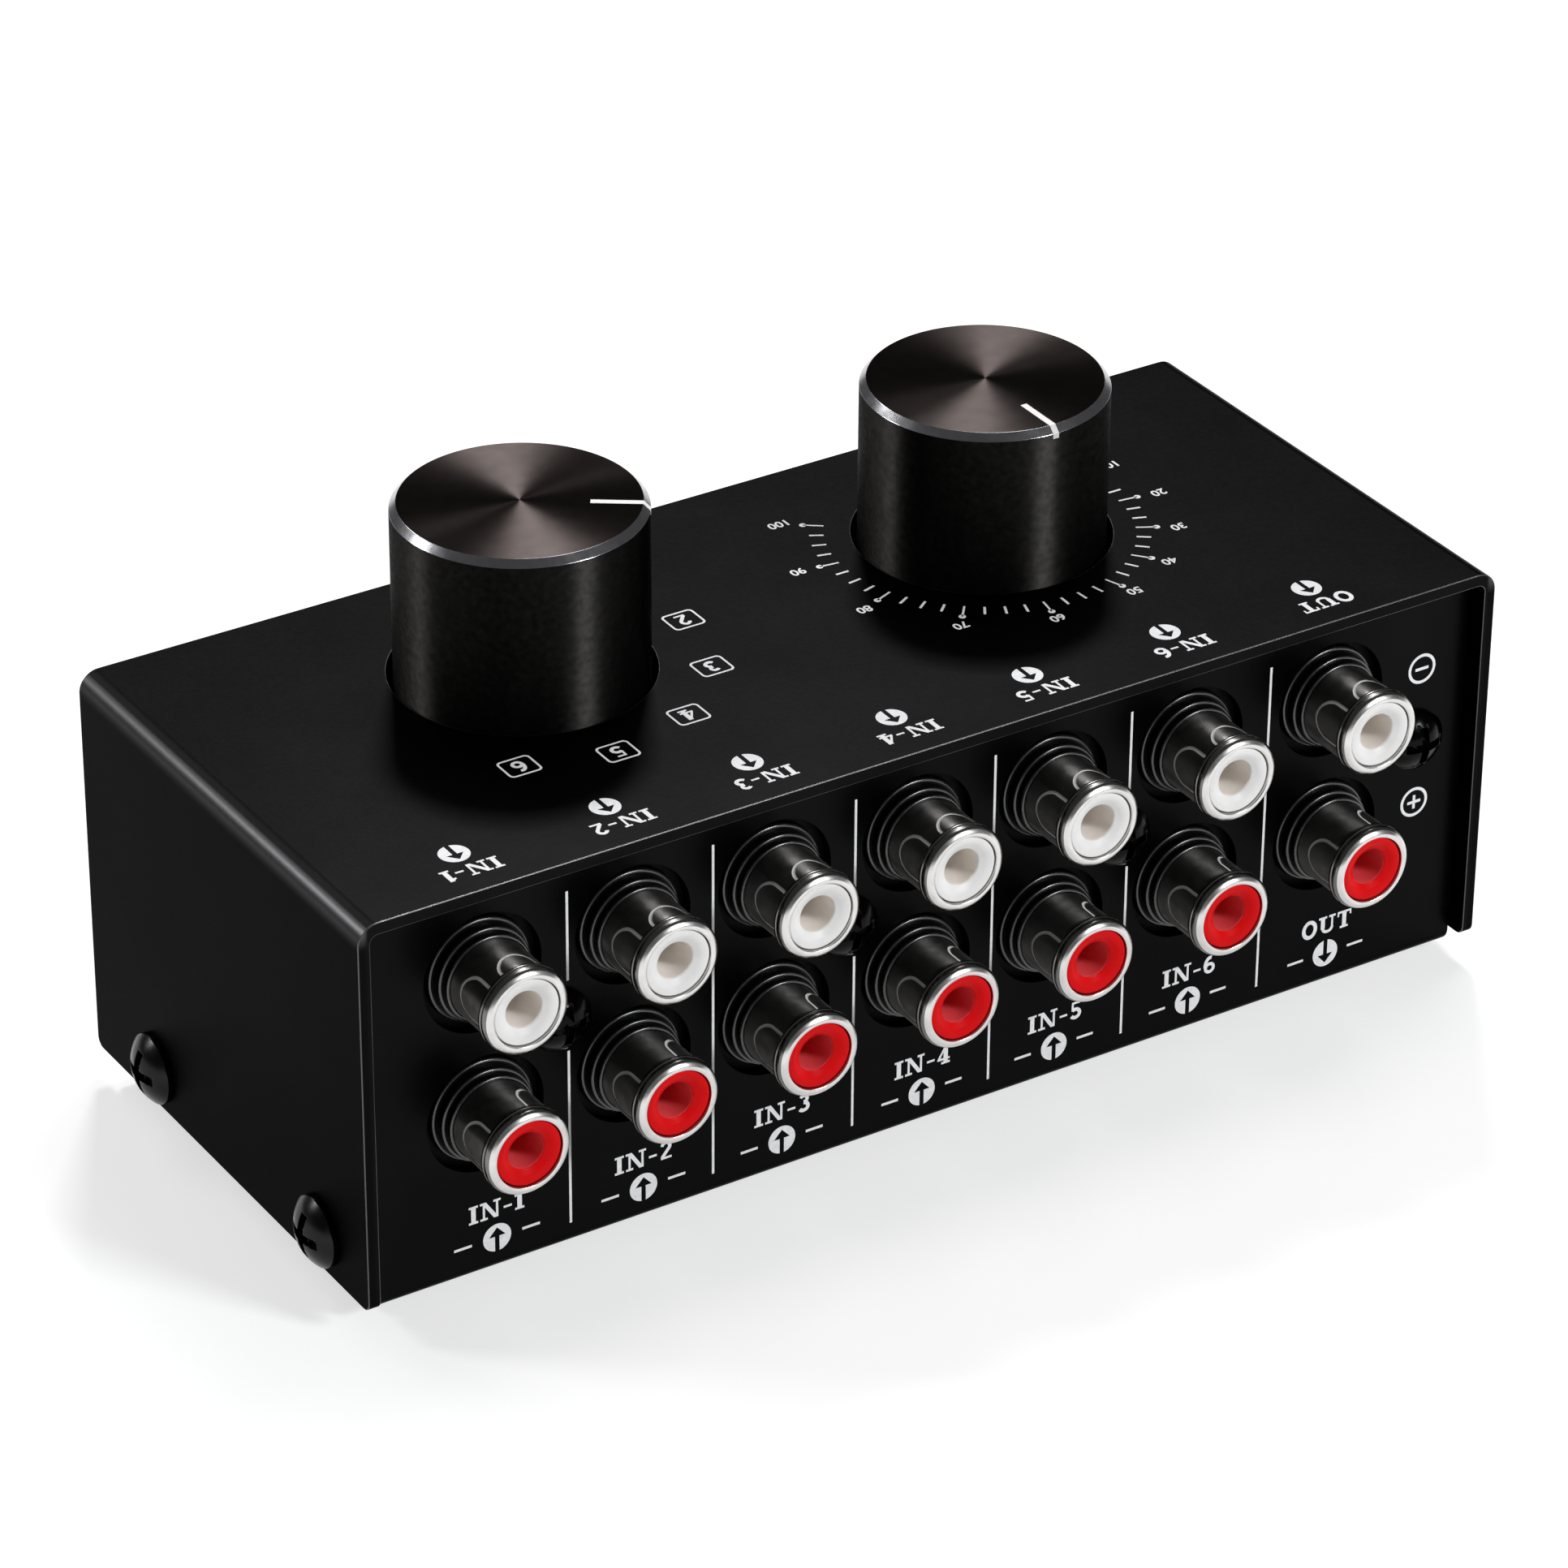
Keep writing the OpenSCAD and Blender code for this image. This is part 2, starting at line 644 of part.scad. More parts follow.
module switch_nut() {
    color("#c4c6c8") at_selector() translate([0, 0, switch_top + ring_t]) hex_nut(bush_r);
}

module switch_rotor() {
    color("#d8d2c4") at_selector() translate([0, 0, rotor_z]) difference() {
        cylinder(r = rotor_r, h = rotor_t);
        translate([0, 0, -eps]) cylinder(r = shaft_r + fit, h = rotor_t + 2 * eps);
        for (a = [0, 180]) rotate(a + selector_pointer_deg) translate([rotor_r - ball_r, 0, rotor_t / 2])
            rotate([0, 90, 0]) cylinder(r = ball_r + fit, h = 2 * ball_r);
    }
}

module detent_balls() {
    color("#cfd2d4") at_selector() for (a = [0, 180]) rotate(a + selector_pointer_deg)
        translate([rotor_r + ball_r / 2, 0, rotor_z + rotor_t / 2]) sphere(ball_r, $fn = 32);
}

// Shaft with a lower pivot, a clip groove above the bushing and a flat for the hub
module control_shaft(z0, bush_z1, z1) {
    flat_z = z1 - hub_h;
    difference() {
        union() {
            flatted_shaft(z0 + wafer_t, z1, flat_z);
            translate([0, 0, z0]) cylinder(r = pivot_r, h = wafer_t + eps);
        }
        translate([0, 0, bush_z1 + fit]) tube(shaft_r + eps, shaft_r - clip_in, ring_t + 2 * fit);
    }
}

module shaft_clip(bush_z1) {
    translate([0, 0, bush_z1 + 2 * fit]) difference() {
        cylinder(r = shaft_r + clip_out, h = ring_t);
        translate([0, 0, -eps]) cylinder(r = shaft_r - clip_in + fit, h = ring_t + 2 * eps);
        translate([-clip_in, 0, -eps]) cube([2 * clip_in, shaft_r + 2 * clip_out, ring_t + 2 * eps]);
    }
}

module switch_shaft() {
    color("#b7b9bb") at_selector() rotate(selector_pointer_deg - 90)
        control_shaft(pcb_z1 + base_t - wafer_t, switch_bush_z1, selector_top - knob_roof - fit);
}

module switch_clip() {
    color("#8d8f91") at_selector() rotate(selector_pointer_deg - 90) shaft_clip(switch_bush_z1);
}

// Knobs

// Plastic hub that grips the shaft's flat
module knob_hub(top) {
    z1 = top - knob_roof - fit;
    translate([0, 0, z1 - hub_h]) difference() {
        cylinder(r = hub_r, h = hub_h);
        intersection() {
            translate([0, 0, -eps]) cylinder(r = shaft_r + fit, h = hub_h + 2 * eps);
            translate([-hub_r, -hub_r, -eps])
                cube([2 * hub_r, hub_r + shaft_r - flat_in + fit, hub_h + 2 * eps]);
        }
    }
}

// Turned shell: cut upper edge, eased skirt, hollow underneath, pointer groove
module knob_shell(top) {
    difference() {
        translate([0, 0, top - knob_h]) rotate_extrude() polygon([
            [0, 0], [knob_r - edge_cut, 0], [knob_r, edge_cut], [knob_r, knob_h - knob_chamfer],
            [knob_r - knob_chamfer, knob_h], [0, knob_h]
        ]);
        translate([0, 0, top - knob_h - eps]) cylinder(r = hub_r + fit, h = knob_h - knob_roof + eps);
        pointer_line(top, pointer_w, pointer_d, 2 * eps);
    }
}

// Pointer: a band of even depth along the top towards +Y and down over the cut edge
module pointer_line(top, w, d, proud) {
    mitre = d * tan(22.5);
    r = knob_r + proud;
    z = top + proud;
    c = knob_chamfer;
    translate([-w / 2, 0, 0]) rotate([90, 0, 90]) linear_extrude(w) polygon([
        [knob_r - c - pointer_l, z], [r - c, z], [r, z - c], [r, top - c - pointer_drop],
        [knob_r - d, top - c - pointer_drop], [knob_r - d, top - c - mitre],
        [knob_r - c - mitre, top - d], [knob_r - c - pointer_l, top - d]
    ]);
}

// Enamel in the pointer groove, trimmed to the knob's own outline
module pointer_fill(top) {
    intersection() {
        pointer_line(top, pointer_w - fit, pointer_d - fit, 0);
        translate([0, 0, top - knob_h]) rotate_extrude() polygon([
            [0, 0], [knob_r, 0], [knob_r, knob_h - knob_chamfer],
            [knob_r - knob_chamfer, knob_h], [0, knob_h]
        ]);
    }
}

module selector_turned() {
    at_selector() rotate(selector_pointer_deg - 90) children();
}

module selector_hub() { color("#202022") selector_turned() knob_hub(selector_top); }
module selector_knob() { color("#2a2a2c") selector_turned() knob_shell(selector_top); }
module selector_pointer() { color("#f0f0ee") selector_turned() pointer_fill(selector_top); }

// Potentiometer under the volume knob

module at_volume() {
    translate([volume_x, control_y, 0]) children();
}

module pot_wafers() {
    color("#6b4a26") at_volume() {
        translate([0, 0, pcb_z1]) tube(pot_r, pivot_r + shaft_play, wafer_t);
        translate([0, 0, pcb_z1 + wafer_t + pot_can_h]) tube(pot_r, shaft_r + hole_slack, wafer_t);
    }
}

module pot_can() {
    wall = 0.7;
    color("#b4b6b8") at_volume() translate([0, 0, pcb_z1 + wafer_t]) tube(pot_r, pot_r - wall, pot_can_h);
}

module pot_front() {
    color("#a2a4a6") at_volume() difference() {
        union() {
            translate([0, 0, pot_top - pot_front_t]) cylinder(r = pot_r, h = pot_front_t);
            translate([0, 0, pot_top - eps]) cylinder(r = pot_bush_r, h = pot_bush_h + eps);
        }
        translate([0, 0, pot_top - pot_front_t - eps])
            cylinder(r = shaft_r + shaft_play, h = pot_front_t + pot_bush_h + 2 * eps);
    }
}

module pot_nut() {
    color("#c4c6c8") at_volume() translate([0, 0, pot_top]) hex_nut(pot_bush_r);
}

// Lower tails drop straight down; upper ones leave the wafer's edge first
module pot_tails() {
    z_up = pcb_z1 + wafer_t + pot_can_h + wafer_t / 2;
    z_low = pcb_z0 - pin_out;
    color("#b8b8b4") at_volume() for (a = POT_PINS) rotate(a) {
        translate([pot_r - pin_in, 0, z_low]) cylinder(r = pin_r, h = pcb_z1 - z_low);
        translate([pot_tail_r, 0, z_low]) cylinder(r = pin_r, h = z_up - z_low + pin_r);
        translate([pot_r, -pin_r, z_up - pin_r]) cube([pot_tail_r - pot_r, 2 * pin_r, 2 * pin_r]);
    }
}

// Two wiper discs, one facing each wafer
module pot_rotors() {
    disc_r = pot_r - pin_in;
    gap = 0.5;
    color("#e2ddd0") at_volume() for (z = [gap, pot_can_h - gap - wafer_t])
        translate([0, 0, pcb_z1 + wafer_t + z]) tube(disc_r, shaft_r + fit, wafer_t);
}

module pot_shaft() {
    color("#b7b9bb") at_volume() rotate(volume_pointer_deg - 90)
        control_shaft(pcb_z1, pot_bush_z1, volume_top - knob_roof - fit);
}

module pot_clip() {
    color("#8d8f91") at_volume() rotate(volume_pointer_deg - 90) shaft_clip(pot_bush_z1);
}

module volume_turned() {
    at_volume() rotate(volume_pointer_deg - 90) children();
}

module volume_hub() { color("#202022") volume_turned() knob_hub(volume_top); }
module volume_knob() { color("#2a2a2c") volume_turned() knob_shell(volume_top); }
module volume_pointer() { color("#f0f0ee") volume_turned() pointer_fill(volume_top); }

top_cover();
base_chassis();
rubber_feet();
cover_screws();
main_board();
board_standoffs();
board_screws();
input_block_1();
input_block_2();
input_block_3();
output_block();
block_screws();
jack_insulators();
jack_sleeves();
white_inserts();
red_inserts();
jack_contacts();
jack_pins();
switch_base();
switch_pins();
switch_housing();
switch_stop_ring();
switch_nut();
switch_rotor();
detent_balls();
switch_shaft();
switch_clip();
selector_hub();
selector_knob();
selector_pointer();
pot_wafers();
pot_can();
pot_front();
pot_nut();
pot_tails();
pot_rotors();
pot_shaft();
pot_clip();
volume_hub();
volume_knob();
volume_pointer();
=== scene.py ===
"""Looks of the audio source selector: eased edges, finishes, printed scales, studio and camera.

Lengths are metres in the frame of the CAD part. +Y comes out of the jack panel, +X runs towards input 1.
"""

import json
import math

import bmesh
import bpy
from mathutils import Matrix, Vector


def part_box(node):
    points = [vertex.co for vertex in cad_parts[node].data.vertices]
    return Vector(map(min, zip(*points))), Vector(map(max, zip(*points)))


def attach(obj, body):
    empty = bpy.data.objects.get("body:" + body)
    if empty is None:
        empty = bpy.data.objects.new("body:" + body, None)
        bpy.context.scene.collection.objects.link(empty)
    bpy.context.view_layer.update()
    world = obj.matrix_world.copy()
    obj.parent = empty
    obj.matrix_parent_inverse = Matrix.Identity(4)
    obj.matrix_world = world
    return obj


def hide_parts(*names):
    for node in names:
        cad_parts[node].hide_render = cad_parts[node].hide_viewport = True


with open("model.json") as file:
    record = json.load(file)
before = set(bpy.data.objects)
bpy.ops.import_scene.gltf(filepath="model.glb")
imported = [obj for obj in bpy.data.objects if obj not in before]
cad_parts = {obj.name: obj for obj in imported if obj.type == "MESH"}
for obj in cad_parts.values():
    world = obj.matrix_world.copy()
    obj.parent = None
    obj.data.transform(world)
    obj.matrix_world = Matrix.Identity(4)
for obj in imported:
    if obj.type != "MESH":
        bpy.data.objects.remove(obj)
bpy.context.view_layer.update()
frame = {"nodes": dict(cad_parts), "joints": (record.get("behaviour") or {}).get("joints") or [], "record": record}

MM = 0.001
PHOTO_PX = 1932

# Places taken from the frame
PANEL_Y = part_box("base_chassis")[1].y
COVER_LOW, COVER_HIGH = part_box("top_cover")
TOP_Z = COVER_HIGH.z
EDGE_Z = COVER_LOW.z
COVER_MID_Y = (COVER_LOW.y + COVER_HIGH.y) / 2
# The cover's painted side shade and painted bend highlight begin across this span
BEND_X = (COVER_HIGH.x - 1.05 * MM, COVER_HIGH.x - 0.55 * MM)  # the top's tone turns into the sides' here
RECORD = frame["record"]
JACKS = {mount["name"]: Vector(mount["pos_m"]) for mount in RECORD["mounts"] if mount["kind"] == "bore"}
KNOB_AXIS = {joint["child"]: Vector(joint["pos_m"]) for joint in frame["joints"]}
BODY_OF = {node: body for body, nodes in RECORD["behaviour"]["bodies"].items() for node in nodes}
SLOT_OF = {subpart["node"]: subpart["material_slot"] for subpart in RECORD["subparts"]}
COLUMNS = ["in1", "in2", "in3", "in4", "in5", "in6", "out"]


# Node helpers for materials

WAVE_PHASE = 20.0  # radians that a wave texture of scale 1 turns through in a metre
NOISE_LOW, NOISE_HIGH = 0.3, 0.7  # most of a noise texture lies between these


class Finish:
    """One Principled material and the few node patterns that this part's finishes share."""

    def __init__(self, name, color, roughness, metallic=0.0, **sockets):
        self.material = bpy.data.materials.new(name)
        self.material.use_nodes = True
        self.tree = self.material.node_tree
        self.shader = self.tree.nodes["Principled BSDF"]
        self.set("Base Color", (*color, 1.0))
        self.set("Roughness", roughness)
        self.set("Metallic", metallic)
        for socket, value in sockets.items():
            self.set(socket.replace("_", " "), value)
        self.color = color
        self.place = self.node("ShaderNodeTexCoord").outputs["Object"]
        self.relief = None

    def set(self, socket, value):
        self.shader.inputs[socket].default_value = value

    def node(self, kind, **settings):
        made = self.tree.nodes.new(kind)
        for key, value in settings.items():
            setattr(made, key, value)
        return made

    def wire(self, source, target):
        self.tree.links.new(source, target)

    def stretched(self, scale):
        """Object coordinates stretched by three factors, for drawn or turned marks."""
        mapping = self.node("ShaderNodeMapping")
        mapping.inputs["Scale"].default_value = scale
        self.wire(self.place, mapping.inputs["Vector"])
        return mapping.outputs["Vector"]

    def noise(self, size, detail=3.0, place=None):
        """Noise whose blotches are about size metres across, from 0 to 1."""
        noise = self.node("ShaderNodeTexNoise")
        noise.inputs["Scale"].default_value = 1.0 / size
        noise.inputs["Detail"].default_value = detail
        self.wire(place or self.place, noise.inputs["Vector"])
        return noise.outputs["Fac"]

    def rings(self, pitch, centre):
        """Circular marks round a vertical axis, pitch metres apart, slightly uneven."""
        mapping = self.node("ShaderNodeMapping")
        mapping.inputs["Location"].default_value = (-centre.x, -centre.y, 0.0)
        self.wire(self.place, mapping.inputs["Vector"])
        wave = self.node("ShaderNodeTexWave", wave_type="RINGS", rings_direction="Z")
        wave.inputs["Scale"].default_value = math.tau / (WAVE_PHASE * pitch)
        wave.inputs["Distortion"].default_value = 1.5
        wave.inputs["Detail"].default_value = 2.0
        self.wire(mapping.outputs["Vector"], wave.inputs["Vector"])
        return wave.outputs["Fac"]

    def ranged(self, source, low, high):
        """Spreads a noise texture from low to high."""
        ranged = self.node("ShaderNodeMapRange")
        ranged.inputs["From Min"].default_value = NOISE_LOW
        ranged.inputs["From Max"].default_value = NOISE_HIGH
        ranged.inputs["To Min"].default_value = low
        ranged.inputs["To Max"].default_value = high
        self.wire(source, ranged.inputs["Value"])
        return ranged.outputs["Result"]

    def mottle(self, source, spread):
        """Lets the colour drift by the share spread either way."""
        mix = self.node("ShaderNodeMix", data_type="RGBA")
        mix.inputs["A"].default_value = (*[c * (1 - spread) for c in self.color], 1.0)
        mix.inputs["B"].default_value = (*[min(1.0, c * (1 + spread)) for c in self.color], 1.0)
        self.wire(self.ranged(source, 0.0, 1.0), mix.inputs["Factor"])
        self.wire(mix.outputs["Result"], self.shader.inputs["Base Color"])
        return self

    def climb(self, axis, low, high):
        """Rises smoothly from 0 to 1 between two distances from the origin along one axis."""
        axes = self.node("ShaderNodeSeparateXYZ")
        self.wire(self.place, axes.inputs["Vector"])
        distance = self.node("ShaderNodeMath", operation="ABSOLUTE")
        self.wire(axes.outputs[axis], distance.inputs[0])
        rise = self.node("ShaderNodeMapRange", interpolation_type="SMOOTHSTEP")
        rise.inputs["From Min"].default_value = low
        rise.inputs["From Max"].default_value = high
        self.wire(distance.outputs[0], rise.inputs["Value"])
        return rise.outputs["Result"]

    def toned_sides(self, share):
        """Painted shade: takes the colour down to the given share on the cover's two sides."""
        mix = self.node("ShaderNodeMix", data_type="RGBA", blend_type="MULTIPLY")
        mix.inputs["B"].default_value = (share, share, share, 1.0)
        self.wire(self.shader.inputs["Base Color"].links[0].from_socket, mix.inputs["A"])
        self.wire(self.climb("X", *BEND_X), mix.inputs["Factor"])
        self.wire(mix.outputs["Result"], self.shader.inputs["Base Color"])
        return self

    def lit_bends(self, reach, gain):
        """Painted highlight: lifts the colour by gain at the cover's two bends, fading out over reach metres down
        the sides.
        """
        both = self.node("ShaderNodeMath", operation="MULTIPLY")
        self.wire(self.climb("Z", TOP_Z - reach, TOP_Z), both.inputs[0])
        self.wire(self.climb("X", *BEND_X), both.inputs[1])
        mix = self.node("ShaderNodeMix", data_type="RGBA")
        mix.inputs["B"].default_value = (*[c * gain for c in self.color], 1.0)
        self.wire(self.shader.inputs["Base Color"].links[0].from_socket, mix.inputs["A"])
        self.wire(both.outputs[0], mix.inputs["Factor"])
        self.wire(mix.outputs["Result"], self.shader.inputs["Base Color"])
        return self

    def uneven(self, source, low, high):
        """Drives the roughness between two values."""
        self.wire(self.ranged(source, low, high), self.shader.inputs["Roughness"])
        return self

    def bumped(self, source, depth, strength=1.0):
        """Adds relief of about depth metres; later calls build on earlier ones."""
        bump = self.node("ShaderNodeBump")
        bump.inputs["Strength"].default_value = strength
        bump.inputs["Distance"].default_value = depth
        self.wire(source, bump.inputs["Height"])
        if self.relief:
            self.wire(self.relief, bump.inputs["Normal"])
        self.relief = bump.outputs["Normal"]
        self.wire(self.relief, self.shader.inputs["Normal"])
        return self

    def turned(self, amount):
        """Stretches highlights across marks that run round a vertical axis."""
        tangent = self.node("ShaderNodeTangent", direction_type="RADIAL", axis="Z")
        self.wire(tangent.outputs["Tangent"], self.shader.inputs["Tangent"])
        self.set("Anisotropic", amount)
        self.set("Anisotropic Rotation", 0.25)
        return self

    def grained(self, amount):
        """Stretches highlights along the jacks, which all point along +Y."""
        along = self.node("ShaderNodeVectorTransform", convert_from="OBJECT", convert_to="WORLD")
        along.inputs["Vector"].default_value = (0.0, 1.0, 0.0)
        self.wire(along.outputs["Vector"], self.shader.inputs["Tangent"])
        self.set("Anisotropic", amount)
        return self


# Finishes

DULL_EDGE = (0.5, 0.5, 0.5, 1.0)  # keeps dark metal dark where it is seen at a slant


def paint(name, color, bends=False):
    """Satin black lacquer on steel: pin-head grain over a slow drift in tone; with bends, a painted highlight
    along the bends and painted shade on the sides.
    """
    finish = Finish(name, color, 0.33, metallic=1.0, Specular_Tint=DULL_EDGE)
    finish.mottle(finish.noise(9 * MM, 2.0), 0.08)
    if bends:
        # painted shade on the cover's two sides
        finish.toned_sides(share=0.68)
        # painted highlight along the cover's two bends
        finish.lit_bends(reach=2.4 * MM, gain=13.0)
    finish.uneven(finish.noise(0.5 * MM), 0.315, 0.345)
    finish.bumped(finish.noise(0.22 * MM, 2.0), 0.008 * MM, 0.5)
    return finish.material


def anodised(name, color, roughness, spin, centre):
    """Turned and anodised metal with fine marks round the knob's axis."""
    finish = Finish(name, color, roughness, metallic=1.0, Specular_Tint=DULL_EDGE)
    finish.turned(spin)
    finish.mottle(finish.noise(1.6 * MM), 0.10)
    finish.bumped(finish.rings(0.16 * MM, centre), 0.0012 * MM, 0.5)
    return finish.material


def anodised_side(name, color, roughness, spin):
    """The knob's wall: turning marks seen as fine level lines, a little mottled."""
    finish = Finish(name, color, roughness, metallic=1.0, Specular_Tint=DULL_EDGE)
    finish.turned(spin)
    lines = finish.noise(0.12 * MM, 3.0, finish.stretched((0.05, 0.05, 1.0)))
    finish.mottle(finish.noise(0.7 * MM, 4.0), 0.25)
    finish.uneven(finish.noise(0.5 * MM, 4.0), roughness - 0.06, roughness + 0.08)
    finish.bumped(lines, 0.002 * MM, 0.5)
    return finish.material


def bright_metal(name, color, roughness, grain=0.0, marks=0.4):
    """Plated metal with faint drawing marks and handling haze."""
    finish = Finish(name, color, roughness, metallic=1.0)
    if grain:
        finish.grained(grain)
    finish.mottle(finish.noise(1.2 * MM), 0.06)
    finish.uneven(finish.noise(0.9 * MM, 4.0), roughness * 0.9, roughness * 1.12)
    finish.bumped(finish.noise(0.25 * MM, 2.0, finish.stretched((1.0, 0.12, 1.0))), 0.0015 * MM, marks)
    return finish.material


def moulded(name, color, roughness, specular=0.5, ripple=0.35):
    """Moulded plastic: almost smooth, with a soft ripple from the tool."""
    finish = Finish(name, color, roughness, Specular_IOR_Level=specular)
    finish.mottle(finish.noise(2.5 * MM), 0.05)
    finish.uneven(finish.noise(0.6 * MM), roughness * 0.85, roughness * 1.2)
    finish.bumped(finish.noise(0.5 * MM, 2.0), 0.004 * MM, ripple)
    return finish.material


def rubber(name, color):
    finish = Finish(name, color, 0.85, Specular_IOR_Level=0.3)
    finish.mottle(finish.noise(1.5 * MM), 0.2)
    finish.bumped(finish.noise(0.15 * MM), 0.02 * MM, 0.6)
    return finish.material


def ink(name, color):
    """Screen-printed ink: matte, its cover slightly uneven."""
    finish = Finish(name, color, 0.6, Specular_IOR_Level=0.3)
    finish.mottle(finish.noise(0.35 * MM, 4.0), 0.07)
    finish.bumped(finish.noise(0.12 * MM), 0.006 * MM, 0.4)
    return finish.material


def laminate(name, color):
    """Circuit board or phenolic wafer, with the weave showing through."""
    finish = Finish(name, color, 0.45)
    finish.mottle(finish.noise(0.8 * MM, 2.0, finish.stretched((1.0, 0.2, 1.0))), 0.15)
    finish.bumped(finish.noise(0.4 * MM), 0.01 * MM, 0.3)
    return finish.material


SELECTOR, VOLUME = KNOB_AXIS["selector"], KNOB_AXIS["volume"]
# the cover paint carries the painted bend highlight and the painted side shade
COVER_PAINT = paint("cover_paint", (0.0070, 0.0069, 0.0071), bends=True)
PANEL_PAINT = paint("panel_paint", (0.0068, 0.0068, 0.0071))
# lighter and glossier than the cover paint on its eased edges: the gloss is the shader's, the extra lightness a
# painted highlight
PAINT_EDGE_HIGHLIGHT = moulded("paint_edge_highlight", (0.026, 0.026, 0.026), 0.30, 0.9)
# near-black, dull copy of the panel paint for the walls of the jack holes: painted shade in the holes
HOLE_WALL_SHADE = moulded("hole_wall_painted_shade", (0.002, 0.002, 0.002), 0.45, 0.05)
KNOB_BROWN = (0.0300, 0.0247, 0.0234)
KNOB_TOP = {
    knob: anodised("knob_top_" + knob, KNOB_BROWN, 0.29, 0.90, axis)
    for knob, axis in KNOB_AXIS.items()
}
KNOB_EDGE = bright_metal("knob_cut_edge", (0.38, 0.38, 0.40), 0.20)
KNOB_SIDE = anodised_side("knob_side", (0.023, 0.022, 0.021), 0.48, 1.0)
# the sleeves' nickel, as on the rims, kept much darker on the barrels: painted shade
SHADED_BARREL = bright_metal("sleeve_nickel", (0.15, 0.145, 0.14), 0.35, 0.95, 0.05)
RIM = bright_metal("rim_nickel", (0.66, 0.65, 0.64), 0.25, marks=0.04)
# darker copy of the rim's nickel for its outer wall: painted shade
RIM_WALL_SHADE = bright_metal("rim_wall_painted_shade", (0.18, 0.175, 0.17), 0.22, marks=0.04)
# matt near-white for the slits' eased edges and the backing rings behind them: painted glints along the slits
SLIT_GLINT = moulded("slit_painted_glint", (0.92, 0.91, 0.89), 0.40)
COLLAR = moulded("collar_plastic", (0.0020, 0.0020, 0.0022), 0.28, 0.10)
# glossier and a little lighter than the collars on their rounded edges: the gloss is the shader's, the extra
# lightness a painted highlight
COLLAR_EDGE_HIGHLIGHT = moulded("collar_edge_highlight", (0.006, 0.006, 0.006), 0.28, 1.0, 0.03)
WHITE = moulded("white_plastic", (0.86, 0.85, 0.84), 0.32)
RED = moulded("red_plastic", (0.72, 0.005, 0.007), 0.30, 0.06)
# paler, warmer and pinker copies of the insert plastics for the walls of their bores: painted light inside the
# holes
WHITE_BORE_PAINTED_LIGHT = moulded("white_bore_painted_light", (0.95, 0.89, 0.83), 0.40, 0.2)
RED_BORE_PAINTED_LIGHT = moulded("red_bore_painted_light", (0.80, 0.08, 0.09), 0.40, 0.2)
BLACK_SCREW = bright_metal("black_screw", (0.020, 0.020, 0.021), 0.26)
BLOCK_SCREW = bright_metal("block_screw", (0.008, 0.008, 0.008), 0.18, marks=0.2)
POINTER = ink("pointer_enamel", (0.74, 0.72, 0.70))
PANEL_INK = ink("panel_ink", (0.93, 0.93, 0.94))
# the panel's white print, darkened on the more brightly lit top: painted shade
COVER_INK_SHADED = ink("cover_ink_painted_shade", (0.68, 0.68, 0.69))
PLAIN = {
    "board_laminate": laminate("board_laminate", (0.03, 0.16, 0.07)),
    "phenolic": laminate("phenolic", (0.22, 0.12, 0.05)),
    "brass_plate": bright_metal("brass_plate", (0.50, 0.40, 0.22), 0.30),
    "bright_steel": bright_metal("bright_steel", (0.55, 0.55, 0.55), 0.28),
    "tinned_pin": bright_metal("tinned_pin", (0.60, 0.60, 0.59), 0.30),
    "die_cast": bright_metal("die_cast", (0.48, 0.48, 0.49), 0.42),
    "shaft_metal": bright_metal("shaft_metal", (0.58, 0.58, 0.59), 0.25),
    "block_plastic": moulded("block_plastic", (0.004, 0.004, 0.004), 0.45, 0.05),
    "rotor_plastic": moulded("rotor_plastic", (0.66, 0.62, 0.53), 0.45),
    "hub_plastic": moulded("hub_plastic", (0.015, 0.015, 0.015), 0.50),
    "foot_rubber": rubber("foot_rubber", (0.012, 0.012, 0.012)),
}


# Pieces that stand for CAD nodes

WELD = 0.0005 * MM  # corners nearer than this are one
FLAT = math.radians(0.3)  # faces that differ by less are one
SHARP = math.radians(28)  # edges that turn by more are eased
LEVEL = 0.95  # share of a normal along an axis from which a face lies square to it
ALONG = 0.3  # share of a normal along an axis up to which a face runs along it


def clean_copy(node):
    """The node's faces with split corners joined and flat neighbours merged."""
    source = frame["nodes"][node].data
    mesh = bpy.data.meshes.new(node + "_look")
    mesh.from_pydata([v.co for v in source.vertices], [], [tuple(p.vertices) for p in source.polygons])
    bm = bmesh.new()
    bm.from_mesh(mesh)
    bmesh.ops.remove_doubles(bm, verts=bm.verts, dist=WELD)
    bmesh.ops.dissolve_limit(bm, angle_limit=FLAT, verts=bm.verts, edges=bm.edges)
    bm.to_mesh(mesh)
    bm.free()
    return mesh


def dressed(node, mesh, materials, ease, steps=2):
    """Makes the mesh the piece that stands for a node, its sharp edges rounded by ease metres."""
    for material in materials:
        mesh.materials.append(material)
    mesh.shade_smooth()
    piece = bpy.data.objects.new(node + "_look", mesh)
    bpy.context.scene.collection.objects.link(piece)
    bevel = piece.modifiers.new("eased", "BEVEL")
    bevel.width = ease
    bevel.segments = steps
    bevel.limit_method = "ANGLE"
    bevel.angle_limit = SHARP
    bevel.harden_normals = True
    bevel.use_clamp_overlap = True
    piece.modifiers.new("flat_faces", "WEIGHTED_NORMAL")
    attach(piece, BODY_OF[node])
    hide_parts(node)
    return piece


def eased(node, materials, ease, pick=None, steps=2, edge=-1):
    """The node's own shape with eased edges.

    pick chooses each face's place in materials; edge is that of the easing, or -1 for its neighbours'.
    """
    mesh = clean_copy(node)
    if pick:
        for face in mesh.polygons:
            face.material_index = pick(face)
    piece = dressed(node, mesh, materials, ease, steps)
    piece.modifiers["eased"].material = edge
    return piece


